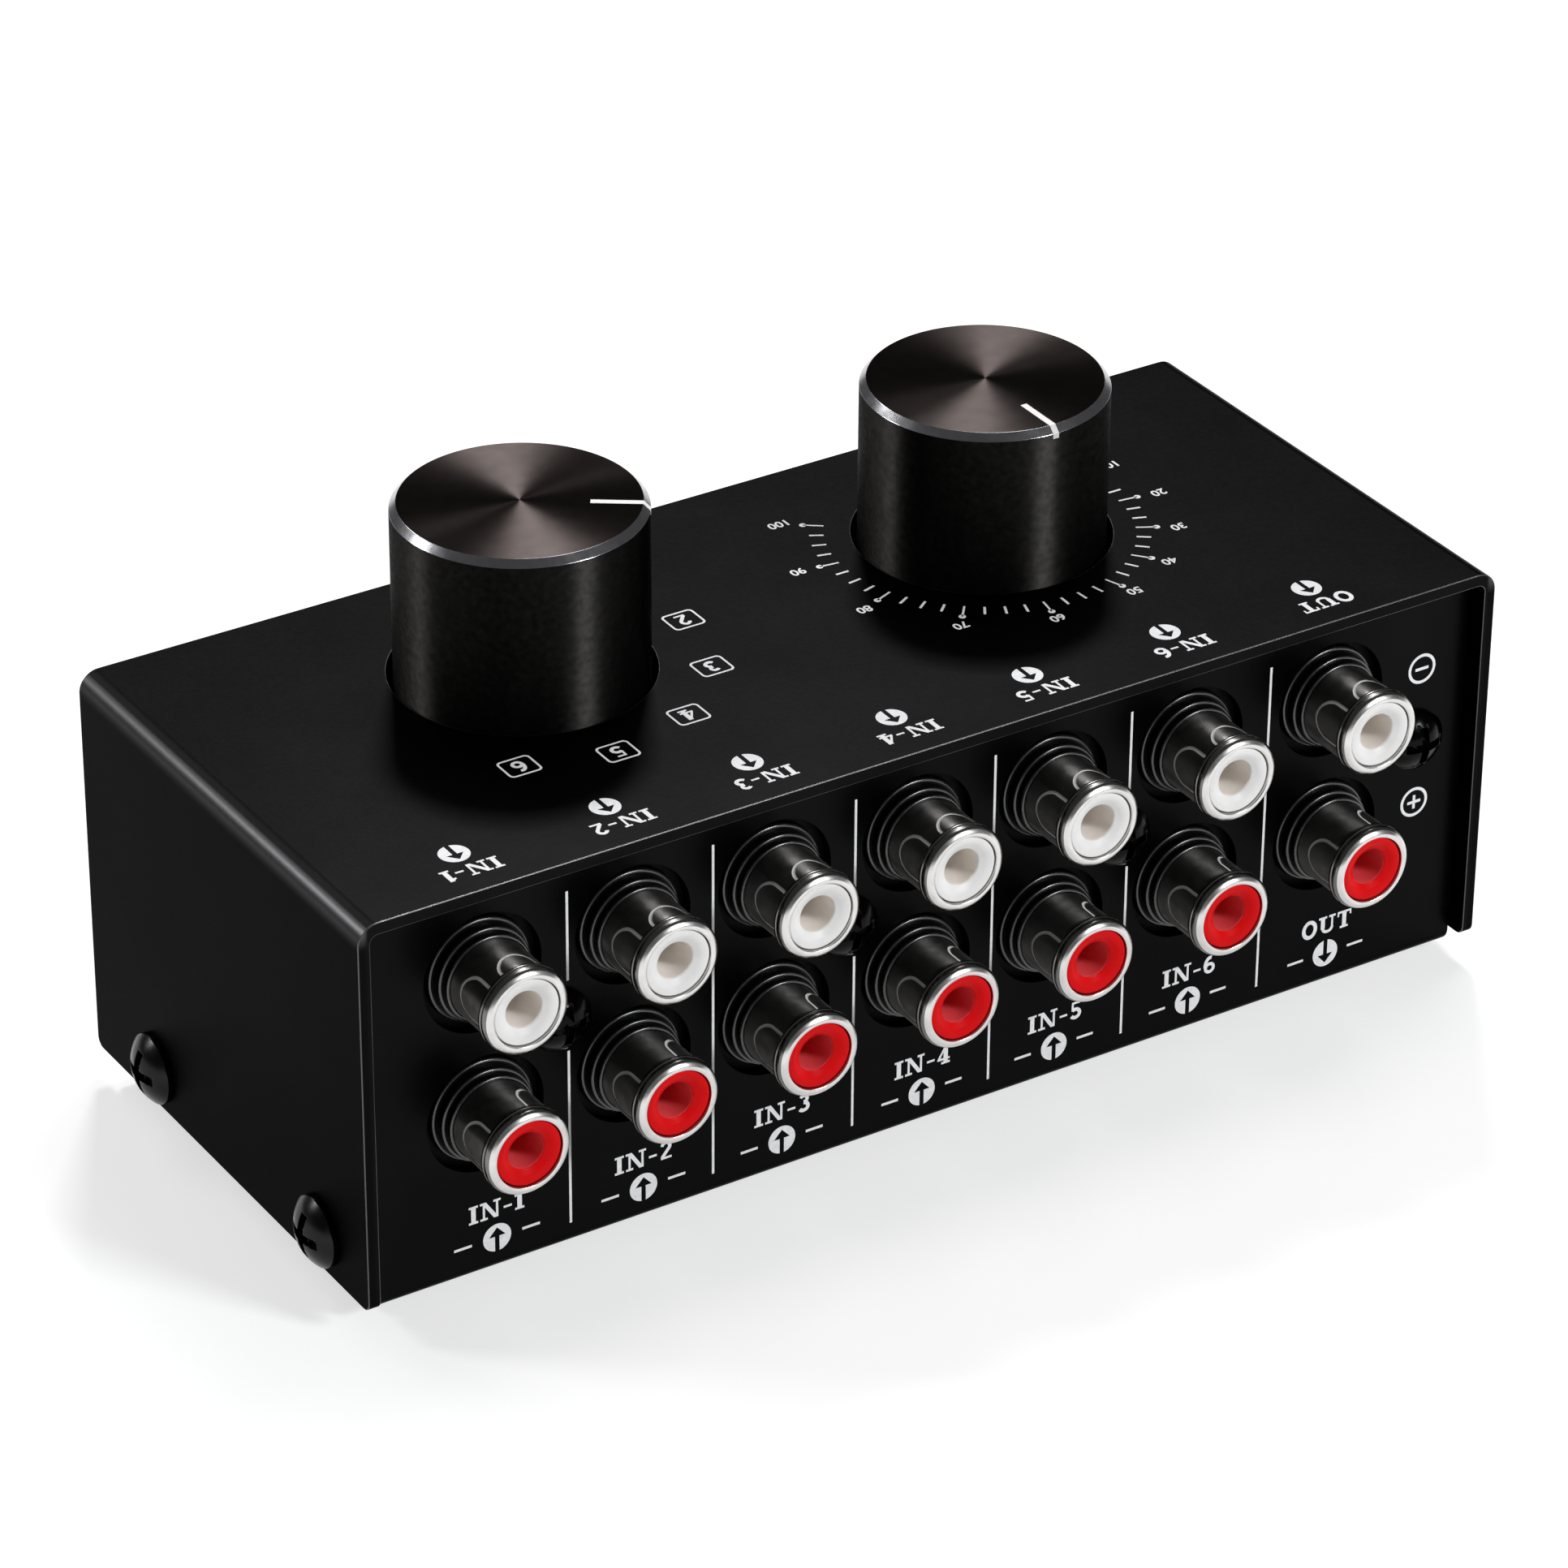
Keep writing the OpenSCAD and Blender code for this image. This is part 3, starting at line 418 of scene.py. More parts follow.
def nearest_jack(point):
    return min(JACKS.values(), key=lambda jack: (point.x - jack.x) ** 2 + (point.z - jack.z) ** 2)


def jack_wall(reach):
    """Chooses the second material for faces that run along a jack's axis within reach metres of it."""
    def pick(face):
        jack = nearest_jack(face.center)
        off_axis = math.hypot(face.center.x - jack.x, face.center.z - jack.z)
        return 1 if abs(face.normal.y) < ALONG and off_axis < reach else 0
    return pick


def knob_face(top):
    """Chooses the place of top, cut edge or wall for a face of a knob whose top is at the given height."""
    def pick(face):
        if face.center.z > top - 0.05 * MM and face.normal.z > LEVEL:
            return 0
        if 0.5 < face.normal.z < LEVEL:
            return 1
        return 2
    return pick


def softened(corners, steps=5):
    """Closed outline whose corners (radius, reach, cut) are rounded off by their cuts."""
    points = []
    for i, (r, reach, cut) in enumerate(corners):
        here = Vector((r, reach))
        if cut == 0:
            points.append(here)
            continue
        back = (Vector(corners[i - 1][:2]) - here).normalized() * cut
        ahead = (Vector(corners[(i + 1) % len(corners)][:2]) - here).normalized() * cut
        for k in range(steps + 1):
            t = k / steps
            points.append(here + back * (1 - t) ** 2 + ahead * t ** 2)
    return points


def add_turned(bm, corners, centre, pick, segments=96):
    """Adds a ring about a jack's axis from millimetre corners; pick chooses each step's material."""
    outline = [p * MM for p in softened(corners)]
    turns = [math.tau * k / segments for k in range(segments)]
    rows = []
    for r, reach in outline:
        ring = [(centre.x + r * math.cos(a), PANEL_Y + reach, centre.z + r * math.sin(a)) for a in turns]
        rows.append([bm.verts.new(point) for point in ring])
    for i, near in enumerate(rows):
        far = rows[(i + 1) % len(rows)]
        material = pick(outline[i], outline[(i + 1) % len(rows)])
        for k in range(segments):
            m = (k + 1) % segments
            bm.faces.new((near[k], near[m], far[m], far[k])).material_index = material


# Sizes of a jack in millimetres: radii, and reaches out of the panel
PLUG_R = 1.75
CONTACT_R = 2.15
CONTACT_END = 0.20
CORE_R = 3.55
CORE_END = 2.45
GROOVE_R = 3.95
STEP_R = (5.05, 4.60, 4.25)
STEP_END = (-0.50, 0.50, 1.30)
STEP_ROUND = 0.24
COLLAR_BACK = -4.20
RIM_IN_R = 3.27
GLINT_BACKING_R = (3.62, 3.82)
GLINT_BACKING_START = 1.5
RIM_R = 4.20
RIM_FRONT_R = 4.0
RIM_BACK_R = 3.88
RIM_START = 6.30
RIM_END = 7.74
NOTCH_R = 4.08
NOTCH_AT = 6.80
NOTCH_HALF = 0.12

# Outlines of a jack's turned pieces: radius, reach, rounding
COLLAR_CORNERS = [
    (CONTACT_R, COLLAR_BACK, 0), (STEP_R[0], COLLAR_BACK, 0),
    (STEP_R[0], STEP_END[0], STEP_ROUND), (STEP_R[1], STEP_END[0], 0),
    (STEP_R[1], STEP_END[1], STEP_ROUND), (STEP_R[2], STEP_END[1], 0),
    (STEP_R[2], STEP_END[2], STEP_ROUND), (GROOVE_R, STEP_END[2], 0),
    (GROOVE_R, 0, 0), (CORE_R, 0, 0), (CORE_R, CORE_END, 0),
    (PLUG_R, CORE_END, 0), (PLUG_R, CONTACT_END, 0), (CONTACT_R, CONTACT_END, 0),
]
RIM_CORNERS = [
    (RIM_IN_R, RIM_START, 0), (RIM_IN_R, RIM_END - 0.04, 0.12), (GLINT_BACKING_R[0], RIM_END, 0.14),
    (RIM_R, RIM_END - 0.40, 0.42), (RIM_R, NOTCH_AT + NOTCH_HALF, 0.10), (NOTCH_R, NOTCH_AT, 0.06),
    (RIM_R, NOTCH_AT - NOTCH_HALF, 0.06), (RIM_R, RIM_START, 0.30), (RIM_BACK_R, RIM_START, 0),
    (GLINT_BACKING_R[0], RIM_START, 0),
]
# ring inside each sleeve whose near-white shows through the slits as painted glints
GLINT_BACKING_CORNERS = [
    (GLINT_BACKING_R[0], GLINT_BACKING_START, 0), (GLINT_BACKING_R[0], RIM_START, 0),
    (GLINT_BACKING_R[1], RIM_START, 0), (GLINT_BACKING_R[1], GLINT_BACKING_START, 0),
]

# Places in the sleeves' list of materials
ON_BARREL, ON_RIM, ON_GLINT, ON_RIM_SHADE = range(4)

# Distances from a jack's axis that take in the wall of its panel hole, and of its insert's bore
HOLE_REACH = 6.0 * MM
BORE_REACH = 2.2 * MM


def rounded_step(a, b):
    """Chooses the edge's material for outline steps that run neither along the axis nor across it."""
    return 1 if min(abs(a.x - b.x), abs(a.y - b.y)) > 0.001 * MM else 0


def rim_step(a, b):
    """Chooses the front's material or the outer wall's darker copy of it, which is painted shade, for a step of
    the rim's outline.
    """
    return ON_RIM_SHADE if a.x + b.x > 2 * RIM_FRONT_R * MM else ON_RIM


def jack_collars():
    """Stands for the insulators: smoothly turned steps whose rounded edges catch the light, in a glossier material
    that is also a little lighter, the lightness a painted highlight.
    """
    bm = bmesh.new()
    for jack in JACKS.values():
        add_turned(bm, COLLAR_CORNERS, jack, rounded_step)
    mesh = bpy.data.meshes.new("jack_insulators_look")
    bmesh.ops.recalc_face_normals(bm, faces=bm.faces)
    bm.to_mesh(mesh)
    bm.free()
    dressed("jack_insulators", mesh, [COLLAR, COLLAR_EDGE_HIGHLIGHT], 0.03 * MM)


def true_walls(piece):
    """Fixes the easing and gives the barrels' walls the normals of true cylinders, whatever their facets."""
    graph = bpy.context.evaluated_depsgraph_get()
    mesh = bpy.data.meshes.new_from_object(piece.evaluated_get(graph))
    piece.modifiers.clear()
    piece.data = mesh
    normals = [corner.vector.copy() for corner in mesh.corner_normals]
    for face in mesh.polygons:
        jack = nearest_jack(face.center)
        for i in face.loop_indices:
            at = mesh.vertices[mesh.loops[i].vertex_index].co
            ray = Vector((at.x - jack.x, 0.0, at.z - jack.z)).normalized()
            facing = ray.dot(face.normal)
            if face.material_index == ON_BARREL and abs(facing) > LEVEL:
                normals[i] = ray if facing > 0 else -ray
    mesh.normals_split_custom_set(normals)


def jack_sleeves():
    """Stands for the sleeves: the slit barrels, with a smoothly rolled rim on each, and inside each a near-white
    backing ring; the ring and the eased slit edges are painted glints.
    """
    mesh = clean_copy("jack_sleeves")
    bm = bmesh.new()
    bm.from_mesh(mesh)
    bmesh.ops.bisect_plane(
        bm, geom=bm.verts[:] + bm.edges[:] + bm.faces[:], plane_co=(0, PANEL_Y + RIM_START * MM, 0),
        plane_no=(0, 1, 0), clear_outer=True)
    for jack in JACKS.values():
        add_turned(bm, RIM_CORNERS, jack, rim_step)
        add_turned(bm, GLINT_BACKING_CORNERS, jack, lambda a, b: ON_GLINT)
    bm.to_mesh(mesh)
    bm.free()
    piece = dressed("jack_sleeves", mesh, [SHADED_BARREL, RIM, SLIT_GLINT, RIM_WALL_SHADE], 0.05 * MM)
    # the eased edges, the slits' among them, take the painted glint
    piece.modifiers["eased"].material = ON_GLINT
    true_walls(piece)


eased("top_cover", [COVER_PAINT, PAINT_EDGE_HIGHLIGHT], 0.30 * MM, steps=3, edge=1)
# the walls of the panel's jack holes take the painted shade
eased("base_chassis", [PANEL_PAINT, HOLE_WALL_SHADE], 0.15 * MM, jack_wall(HOLE_REACH))
jack_collars()
jack_sleeves()
eased("white_inserts", [WHITE, WHITE_BORE_PAINTED_LIGHT], 0.16 * MM, jack_wall(BORE_REACH), steps=4)
eased("red_inserts", [RED, RED_BORE_PAINTED_LIGHT], 0.16 * MM, jack_wall(BORE_REACH), steps=4)
eased("cover_screws", [BLACK_SCREW], 0.10 * MM)
eased("block_screws", [BLOCK_SCREW], 0.10 * MM)
for knob in ("selector", "volume"):
    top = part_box(knob + "_knob")[1].z
    eased(knob + "_knob", [KNOB_TOP[knob], KNOB_EDGE, KNOB_SIDE], 0.05 * MM, knob_face(top))
    eased(knob + "_pointer", [POINTER], 0.03 * MM)
for name, node in frame["nodes"].items():
    if SLOT_OF[name] in PLAIN:
        node.data.materials.clear()
        node.data.materials.append(PLAIN[SLOT_OF[name]])


# Printed legends


class Legend:
    """Flat printed shapes gathered on one face of the case and raised by the ink's thickness."""

    THICK = 0.02 * MM
    STROKE_LIFT = 0.0005 * MM  # keeps a word's overlapping strokes apart
    WELD = 0.0002 * MM  # joins corners within a stroke, and is less than the lift
    CAPITALS = 0.69  # share of the built-in font's size that its capitals take

    def __init__(self, right, up, base, colour):
        self.colour = colour
        normal = Vector(right).cross(Vector(up))
        self.frame = Matrix((right, up, normal)).transposed().to_4x4()
        self.base = Vector(base)
        self.bm = bmesh.new()

    def where(self, at, turn):
        spot = Matrix.Translation(self.base + self.frame @ Vector((at[0], at[1], 0.0)))
        return spot @ self.frame @ Matrix.Rotation(turn, 4, "Z")

    def fill(self, points, place):
        """One face through flat points, put in place by a matrix."""
        self.bm.faces.new([self.bm.verts.new(place @ Vector((u, v, 0.0))) for u, v in points])

    def outline(self, points, at, turn=0.0):
        """One filled outline, its points anticlockwise."""
        self.fill(points, self.where(at, turn))

    def band(self, outer, inner, at):
        """A closed band between two outlines with the same number of points."""
        place = self.where(at, 0.0)
        rows = [[self.bm.verts.new(place @ Vector((u, v, 0.0))) for u, v in row] for row in (outer, inner)]
        for i in range(len(outer)):
            k = (i + 1) % len(outer)
            self.bm.faces.new([rows[0][i], rows[0][k], rows[1][k], rows[1][i]])

    def text(self, words, height, at, weight):
        """Words in the built-in plain face, centred, with capitals about height tall."""
        curve = bpy.data.curves.new("words", "FONT")
        curve.body = words
        curve.size = height / self.CAPITALS
        curve.align_x = "CENTER"
        curve.align_y = "CENTER"
        curve.offset = weight
        curve.resolution_u = 4
        holder = bpy.data.objects.new("words", curve)
        mesh = bpy.data.meshes.new_from_object(holder)
        place = self.where(at, 0.0)
        verts = [self.bm.verts.new(place @ v.co) for v in mesh.vertices]
        for face in mesh.polygons:
            self.bm.faces.new([verts[i] for i in face.vertices])
        bpy.data.objects.remove(holder)
        bpy.data.curves.remove(curve)
        bpy.data.meshes.remove(mesh)

    def slab(self, words, height, at):
        """Words in the slab-serif marks below, centred, with capitals height tall."""
        reach = -sum(GLYPHS[letter][0] for letter in words) / 2
        for letter in words:
            advance, strokes = GLYPHS[letter]
            middle = reach + advance / 2
            for k, stroke in enumerate(strokes):
                lift = Matrix.Translation((0.0, 0.0, k * self.STROKE_LIFT))
                points = [((u + middle) * height, (v - 0.5) * height) for u, v in stroke]
                self.fill(points, self.where(at, 0.0) @ lift)
            reach += advance

    def piece(self, name):
        bm = self.bm
        bmesh.ops.remove_doubles(bm, verts=bm.verts, dist=self.WELD)
        raised = bmesh.ops.extrude_face_region(bm, geom=list(bm.faces), use_keep_orig=True)
        lift = self.frame.to_3x3() @ Vector((0.0, 0.0, self.THICK))
        risen = [v for v in raised["geom"] if isinstance(v, bmesh.types.BMVert)]
        bmesh.ops.translate(bm, vec=lift, verts=risen)
        bmesh.ops.recalc_face_normals(bm, faces=bm.faces)
        mesh = bpy.data.meshes.new(name)
        bm.to_mesh(mesh)
        bm.free()
        mesh.materials.append(self.colour)
        made = bpy.data.objects.new(name, mesh)
        bpy.context.scene.collection.objects.link(made)
        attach(made, "case")


def polar(r, angle):
    return (r * math.cos(angle), r * math.sin(angle))


def circle(r, n=48, start=0.0, extent=math.tau):
    """Points round a circle, or along an arc of it with both ends."""
    closed = abs(extent - math.tau) < 1e-6
    count = n if closed else n + 1
    return [polar(r, start + extent * i / n) for i in range(count)]


def bar(w, h):
    return [(-w / 2, -h / 2), (w / 2, -h / 2), (w / 2, h / 2), (-w / 2, h / 2)]


def rounded(w, h, r, n=6):
    """Rectangle with rounded corners, centred."""
    points = []
    for cx, cy, a in ((1, 1, 0.0), (-1, 1, 0.25), (-1, -1, 0.5), (1, -1, 0.75)):
        arc = circle(r, n, a * math.tau, math.tau / 4)
        points += [(cx * (w / 2 - r) + u, cy * (h / 2 - r) + v) for u, v in arc]
    return points


def arrow_disc(r):
    """Disc with an upward arrow cut out of it, the arrow's stem open at the bottom edge."""
    shaft = 0.16 * r
    barb = 0.60 * r
    shoulder = 0.08 * r
    tip = 0.74 * r
    gap = math.asin(shaft / r)
    rim = circle(r, 40, -math.tau / 4 + gap, math.tau - 2 * gap)
    return rim + [(-shaft, shoulder), (-barb, shoulder), (0.0, tip), (barb, shoulder), (shaft, shoulder)]


def ribbon(points, width):
    """Outline of a stroke of even width along points, anticlockwise."""
    sides = ([], [])
    for i, (u, v) in enumerate(points):
        (au, av), (bu, bv) = points[max(i - 1, 0)], points[min(i + 1, len(points) - 1)]
        along = Vector((bu - au, bv - av)).normalized() * width / 2
        sides[0].append((u + along.y, v - along.x))
        sides[1].append((u - along.y, v + along.x))
    return sides[0] + sides[1][::-1]


def bow(cu, cv, ru, rv, start, end, n=14):
    """Points along an elliptical arc between two angles in degrees."""
    turns = [math.radians(start + (end - start) * k / n) for k in range(n + 1)]
    return [(cu + ru * math.cos(a), cv + rv * math.sin(a)) for a in turns]


# Slab-serif marks for capitals one unit tall: the room each takes and its strokes
THICK_LINE, THIN_LINE = 0.25, 0.12
FOOT, HEAD = THIN_LINE / 2, 1 - THIN_LINE / 2


def stem(u, width=THICK_LINE, low=0.0, high=1.0):
    return ribbon([(u, low), (u, high)], width)


def serif(u, v, half=0.25):
    return ribbon([(u - half, v), (u + half, v)], THIN_LINE)


GLYPHS = {
    "I": (0.64, [stem(0), serif(0, FOOT), serif(0, HEAD)]),
    "N": (1.22, [
        stem(-0.36, THIN_LINE), stem(0.36, THIN_LINE), [(0.18, 0), (0.42, 0), (-0.24, 1), (-0.48, 1)],
        serif(-0.36, FOOT, 0.2), serif(0.36, HEAD, 0.2), serif(-0.45, HEAD, 0.12),
    ]),
    "O": (1.10, [ribbon(bow(0, 0.5, 0.36, 0.44, 90 * q, 90 * q + 90), 0.22) for q in range(4)]),
    "U": (1.12, [
        stem(-0.28, THICK_LINE, 0.3), stem(0.30, THIN_LINE, 0.3), serif(-0.28, HEAD),
        serif(0.30, HEAD, 0.2), ribbon(bow(0.01, 0.32, 0.29, 0.24, 180, 360), 0.17),
    ]),
    "T": (1.00, [
        stem(0), serif(0, FOOT), serif(0, HEAD, 0.42), stem(-0.38, 0.09, 0.7), stem(0.38, 0.09, 0.7),
    ]),
    "-": (0.66, [ribbon([(-0.22, 0.4), (0.22, 0.4)], THIN_LINE)]),
    "1": (0.64, [stem(0), serif(0, FOOT), ribbon([(-0.26, 0.78), (0.0, 0.92)], THIN_LINE)]),
    "2": (0.80, [
        ribbon(bow(0, 0.71, 0.22, 0.22, 170, -40) + [(-0.22, 0.1)], 0.19), serif(0.02, FOOT, 0.3),
    ]),
    "3": (0.78, [
        ribbon(bow(-0.02, 0.74, 0.2, 0.18, 150, -90), 0.19),
        ribbon(bow(-0.02, 0.3, 0.25, 0.22, 90, -150), 0.2),
    ]),
    "4": (0.84, [
        stem(0.12), ribbon([(0.1, 0.97), (-0.3, 0.3)], THIN_LINE), serif(0.0, 0.28, 0.36),
        serif(0.12, FOOT),
    ]),
    "5": (0.80, [
        serif(0.02, 0.93, 0.24), stem(-0.18, THIN_LINE, 0.48, 0.96),
        ribbon(bow(-0.02, 0.32, 0.26, 0.24, 130, -150), 0.2),
    ]),
    "6": (0.82, [
        ribbon(bow(0.06, 0.45, 0.3, 0.46, 75, 190), 0.2),
        *[ribbon(bow(0.02, 0.31, 0.24, 0.23, 90 * q, 90 * q + 90), 0.18) for q in range(4)],
    ]),
}

DISC_R = 1.42 * MM
LINE = 0.30 * MM
NAME_H = 1.85 * MM


def column_words(column):
    return "OUT" if column == "out" else "IN-" + column[2:]


# Jack panel, seen from +Y, so right is -X
NAME_Z = EDGE_Z + 5.15 * MM
DISC_Z = EDGE_Z + 2.03 * MM
DIVIDER_Z = (EDGE_Z + 0.9 * MM, EDGE_Z + 35.1 * MM)
DIVIDER_W = 0.25 * MM
SCREW_GAP = 3.6 * MM
LEGEND_SHIFT = -0.9 * MM
DASH = bar(1.8 * MM, 0.26 * MM)
DASH_OUT = 3.45 * MM
POLARITY_R = 1.55 * MM
POLARITY_OUT = 10.4 * MM
POLARITY_LIFT = 0.2 * MM
MINUS_W = 1.5 * MM
PLUS_ARM = 0.55 * MM
PLUS_ARM_OUT = 0.45 * MM


def divider(marks, i):
    """Line between a column and the next one, broken where a block's screw sits."""
    white, red = JACKS[COLUMNS[i] + "_white"], JACKS[COLUMNS[i] + "_red"]
    x = (white.x + JACKS[COLUMNS[i + 1] + "_white"].x) / 2 + LEGEND_SHIFT
    spans = [DIVIDER_Z]
    if i % 2 == 0:
        middle = (white.z + red.z) / 2
        spans = [(DIVIDER_Z[0], middle - SCREW_GAP), (middle + SCREW_GAP, DIVIDER_Z[1])]
    for low, high in spans:
        marks.outline(bar(DIVIDER_W, high - low), (-x, (low + high) / 2))


def polarity(marks, jack, plus):
    """Ring beside an output jack with a minus sign, or with the two more arms of a plus sign."""
    u, v = POLARITY_OUT - jack.x, jack.z + POLARITY_LIFT
    marks.band(circle(POLARITY_R), circle(POLARITY_R - LINE), (u, v))
    marks.outline(bar(MINUS_W, LINE), (u, v))
    if plus:
        for side in (-1, 1):
            marks.outline(bar(LINE, PLUS_ARM), (u, v + side * PLUS_ARM_OUT))


def print_panel():
    marks = Legend((-1, 0, 0), (0, 0, 1), (0, PANEL_Y, 0), PANEL_INK)
    for column in COLUMNS:
        x = JACKS[column + "_white"].x + LEGEND_SHIFT
        marks.slab(column_words(column), NAME_H, (-x, NAME_Z))
        marks.outline(arrow_disc(DISC_R), (-x, DISC_Z), math.pi if column == "out" else 0.0)
        for side in (-1, 1):
            marks.outline(DASH, (-x + side * DASH_OUT, DISC_Z))
    for i in range(len(COLUMNS) - 1):
        divider(marks, i)
    polarity(marks, JACKS["out_white"], plus=False)
    polarity(marks, JACKS["out_red"], plus=True)
    marks.piece("panel_legend")


# Cover top, read from the front, so right is +X
TOP_NAME_Y = COVER_MID_Y + 22.265 * MM
TOP_DISC_Y = COVER_MID_Y + 19.215 * MM


def top_marks(x=0.0, y=0.0):
    """A legend on the cover's top, its origin at the given place."""
    return Legend((1, 0, 0), (0, 1, 0), (x, y, TOP_Z), COVER_INK_SHADED)


def print_top():
    marks = top_marks()
    for column in COLUMNS:
        x = JACKS[column + "_white"].x
        marks.slab(column_words(column), NAME_H, (x, TOP_NAME_Y))
        marks.outline(arrow_disc(DISC_R), (x, TOP_DISC_Y))
    marks.piece("cover_legend")


# Selector positions: plain numbers in boxes, thirty degrees apart
CHOICES = 6
CHOICE_FIRST = math.radians(210)
CHOICE_STEP = math.radians(30)
CHOICE_SHIFT = Vector((0.43, 0.04)) * MM
CHOICE_R = 17.3 * MM
CHOICE_H = 1.8 * MM
BOX_OUTSIDE = rounded(3.3 * MM, 3.0 * MM, 0.5 * MM)
BOX_INSIDE = rounded(2.9 * MM, 2.6 * MM, 0.35 * MM)


def print_choices():
    marks = top_marks(SELECTOR.x + CHOICE_SHIFT.x, SELECTOR.y + CHOICE_SHIFT.y)
    for n in range(CHOICES):
        at = polar(CHOICE_R, CHOICE_FIRST - CHOICE_STEP * n)
        marks.band(BOX_OUTSIDE, BOX_INSIDE, at)
        marks.slab(str(n + 1), CHOICE_H, at)
    marks.piece("selector_scale")


# Volume scale: plain numbers from 0 to 100, wider steps above 50
SCALE_SHIFT = Vector((0.23, 0.04)) * MM
HALF_SWEEP = math.radians(125.9)
UPPER_STEP = math.radians(2.888)
LOWER_STEP = (2 * HALF_SWEEP - 50 * UPPER_STEP) / 50
UPPER_PARTS, LOWER_PARTS = 4, 3
TICK_R = 14.55 * MM
TICK_W = 0.24 * MM
TICK_LENGTH = 1.35 * MM
DOT_R = 16.5 * MM
DOT = circle(0.34 * MM, 20)
DOT_STEM_W = 0.2 * MM
NUMBER_R = 17.75 * MM
NUMBER_H = 1.05 * MM
NUMBER_WEIGHT = 0.03 * MM
DIGIT_ROOM = 0.5 * MM


def scale_angle(value):
    """Direction of a volume value, from +X."""
    top_end = math.radians(90) - HALF_SWEEP
    upper = min(100 - value, 50)
    return top_end + upper * UPPER_STEP + (100 - value - upper) * LOWER_STEP


def tick(marks, value, length, width):
    angle = scale_angle(value)
    marks.outline(bar(length, width), polar(TICK_R + length / 2, angle), angle)


def print_scale():
    marks = top_marks(VOLUME.x + SCALE_SHIFT.x, VOLUME.y + SCALE_SHIFT.y)
    for value in range(0, 101, 10):
        angle = scale_angle(value)
        tick(marks, value, DOT_R - TICK_R, DOT_STEM_W)
        marks.outline(DOT, polar(DOT_R, angle))
        number_r = NUMBER_R + DIGIT_ROOM * len(str(value)) * math.cos(angle) ** 2
        marks.text(str(value), NUMBER_H, polar(number_r, angle), NUMBER_WEIGHT)
    for value in range(0, 100, 10):
        parts = UPPER_PARTS if value >= 50 else LOWER_PARTS
        for k in range(1, parts):
            tick(marks, value + 10 * k / parts, TICK_LENGTH, TICK_W)
    marks.piece("volume_scale")


print_panel()
print_top()
print_choices()
print_scale()


# Studio

LAMP_AIM = Vector((0.0, 0.0, 30 * MM))


def direction(azimuth, elevation):
    """Unit vector, in degrees from +X and above the floor."""
    turn, rise = math.radians(azimuth), math.radians(elevation)
    return Vector((math.cos(turn) * math.cos(rise), math.sin(turn) * math.cos(rise), math.sin(rise)))


def soft_box(name, facing, along, size, power, color=(1.0, 1.0, 1.0), reach=1.0):
    """Area lamp of two sizes, the second along the given vector, reach metres from the part."""
    data = bpy.data.lights.new(name, "AREA")
    data.shape = "RECTANGLE"
    data.size, data.size_y = size
    data.energy = power
    data.color = color
    lamp = bpy.data.objects.new(name, data)
    lamp.matrix_world = Matrix((along.cross(facing), along, facing)).transposed().to_4x4()
    lamp.location = facing * reach + LAMP_AIM
    bpy.context.scene.collection.objects.link(lamp)


def square_light(name, azimuth, elevation, size, power, **settings):
    facing = direction(azimuth, elevation)
    across = facing.cross((0, 0, 1)).normalized()
    soft_box(name, facing, across.cross(facing), (size, size), power, **settings)


def strip_light(name, low, high, width, power):
    """Narrow soft box that runs from one direction to another."""
    start, end = direction(*low), direction(*high)
    run = end - start
    soft_box(name, (start + end).normalized(), run.normalized(), (width, run.length), power)


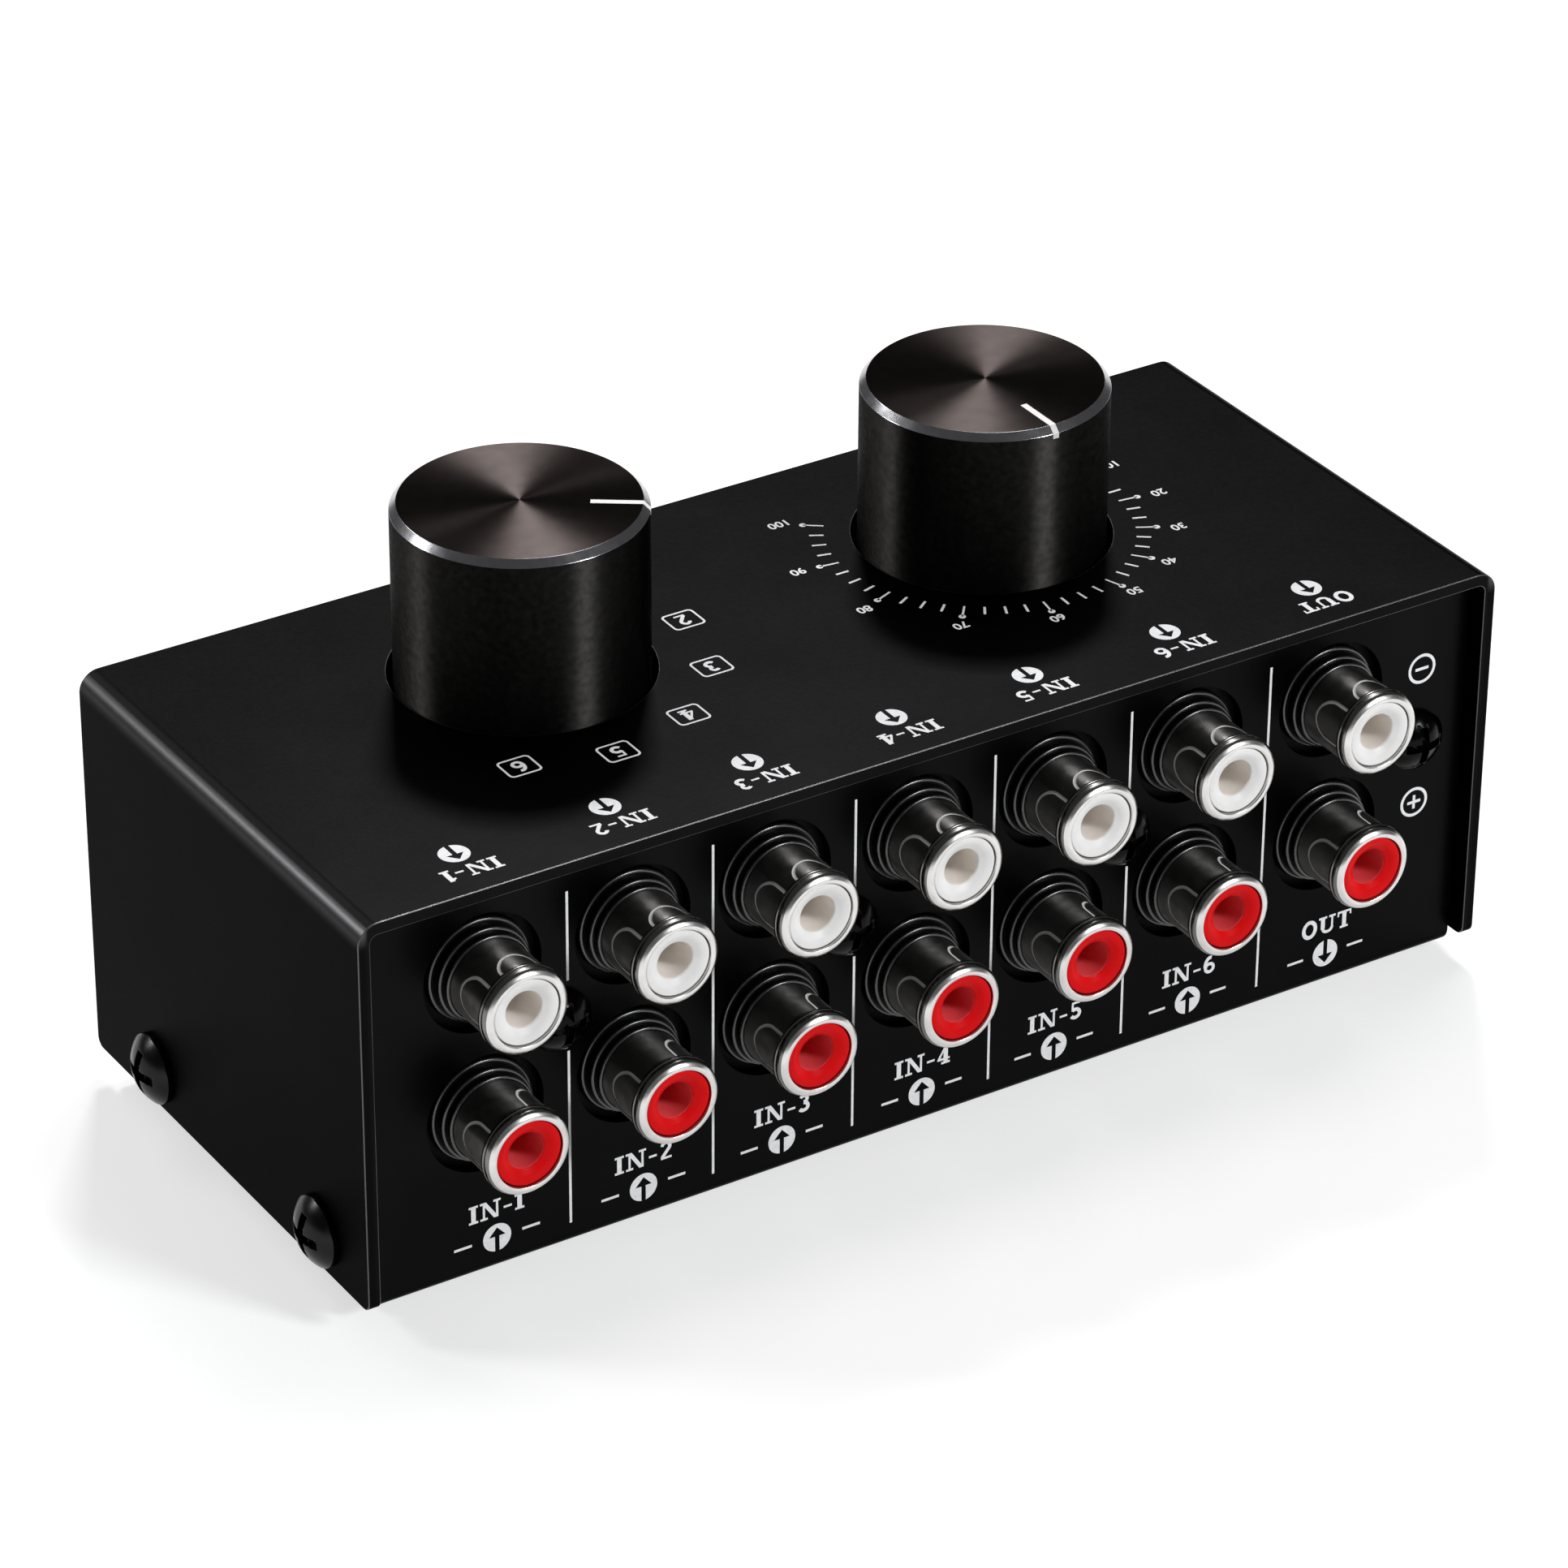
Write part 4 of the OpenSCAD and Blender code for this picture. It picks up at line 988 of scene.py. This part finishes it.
def make_floor():
    """Broad pale floor: it shows near white to the eye and in reflections, and keeps the shadow."""
    pale = (0.55, 0.55, 0.55)
    glow = (0.56, 0.56, 0.56, 1.0)
    finish = Finish("floor", pale, 0.9, Specular_IOR_Level=0.0, Emission_Color=glow)
    finish.mottle(finish.noise(60 * MM), 0.01)
    rays = finish.node("ShaderNodeLightPath").outputs
    seen = rays["Is Camera Ray"]
    for kind in ("Is Glossy Ray", "Is Transmission Ray"):
        either = finish.node("ShaderNodeMath", operation="MAXIMUM")
        finish.wire(seen, either.inputs[0])
        finish.wire(rays[kind], either.inputs[1])
        seen = either.outputs[0]
    finish.wire(seen, finish.shader.inputs["Emission Strength"])
    mesh = bpy.data.meshes.new("floor")
    half = 4.0
    corners = [(-half, -half, 0), (half, -half, 0), (half, half, 0), (-half, half, 0)]
    mesh.from_pydata(corners, [], [(0, 1, 2, 3)])
    mesh.materials.append(finish.material)
    floor = bpy.data.objects.new("floor", mesh)
    bpy.context.scene.collection.objects.link(floor)


make_floor()
square_light("key_left", -40, 28, 0.20, 3.5)
strip_light("bend_strip", (-58, 33), (-98, 43), 0.14, 2.0)
square_light("fill_right", 116.5, 30, 0.20, 6.6, color=(0.97, 0.985, 1.0))
square_light("back", -122, 48, 0.28, 18.5, reach=2.0)
square_light("overhead", -150, 68, 0.35, 2.8)

world = bpy.data.worlds.new("studio")
world.use_nodes = True
world.node_tree.nodes["Background"].inputs["Color"].default_value = (1.0, 1.0, 1.0, 1.0)
world.node_tree.nodes["Background"].inputs["Strength"].default_value = 0.1
bpy.context.scene.world = world

# Camera solved from the photograph
CAMERA_AT = Vector((283.547, 441.135, 333.745)) * MM
CAMERA_AIM = Vector((-0.46273, -0.72826, -0.50550))
CAMERA_UP = Vector((-0.26581, -0.43000, 0.86281))
FOCAL_PX = 8183.4
camera_data = bpy.data.cameras.new("camera")
camera_data.sensor_width = 36
camera_data.lens = FOCAL_PX / PHOTO_PX * camera_data.sensor_width
camera_data.clip_start = 0.01
camera = bpy.data.objects.new("camera", camera_data)
right = CAMERA_AIM.cross(CAMERA_UP)
camera.matrix_world = Matrix((right, CAMERA_UP, -CAMERA_AIM)).transposed().to_4x4()
camera.location = CAMERA_AT
bpy.context.scene.collection.objects.link(camera)
bpy.context.scene.camera = camera
bpy.context.scene.view_settings.view_transform = "Standard"
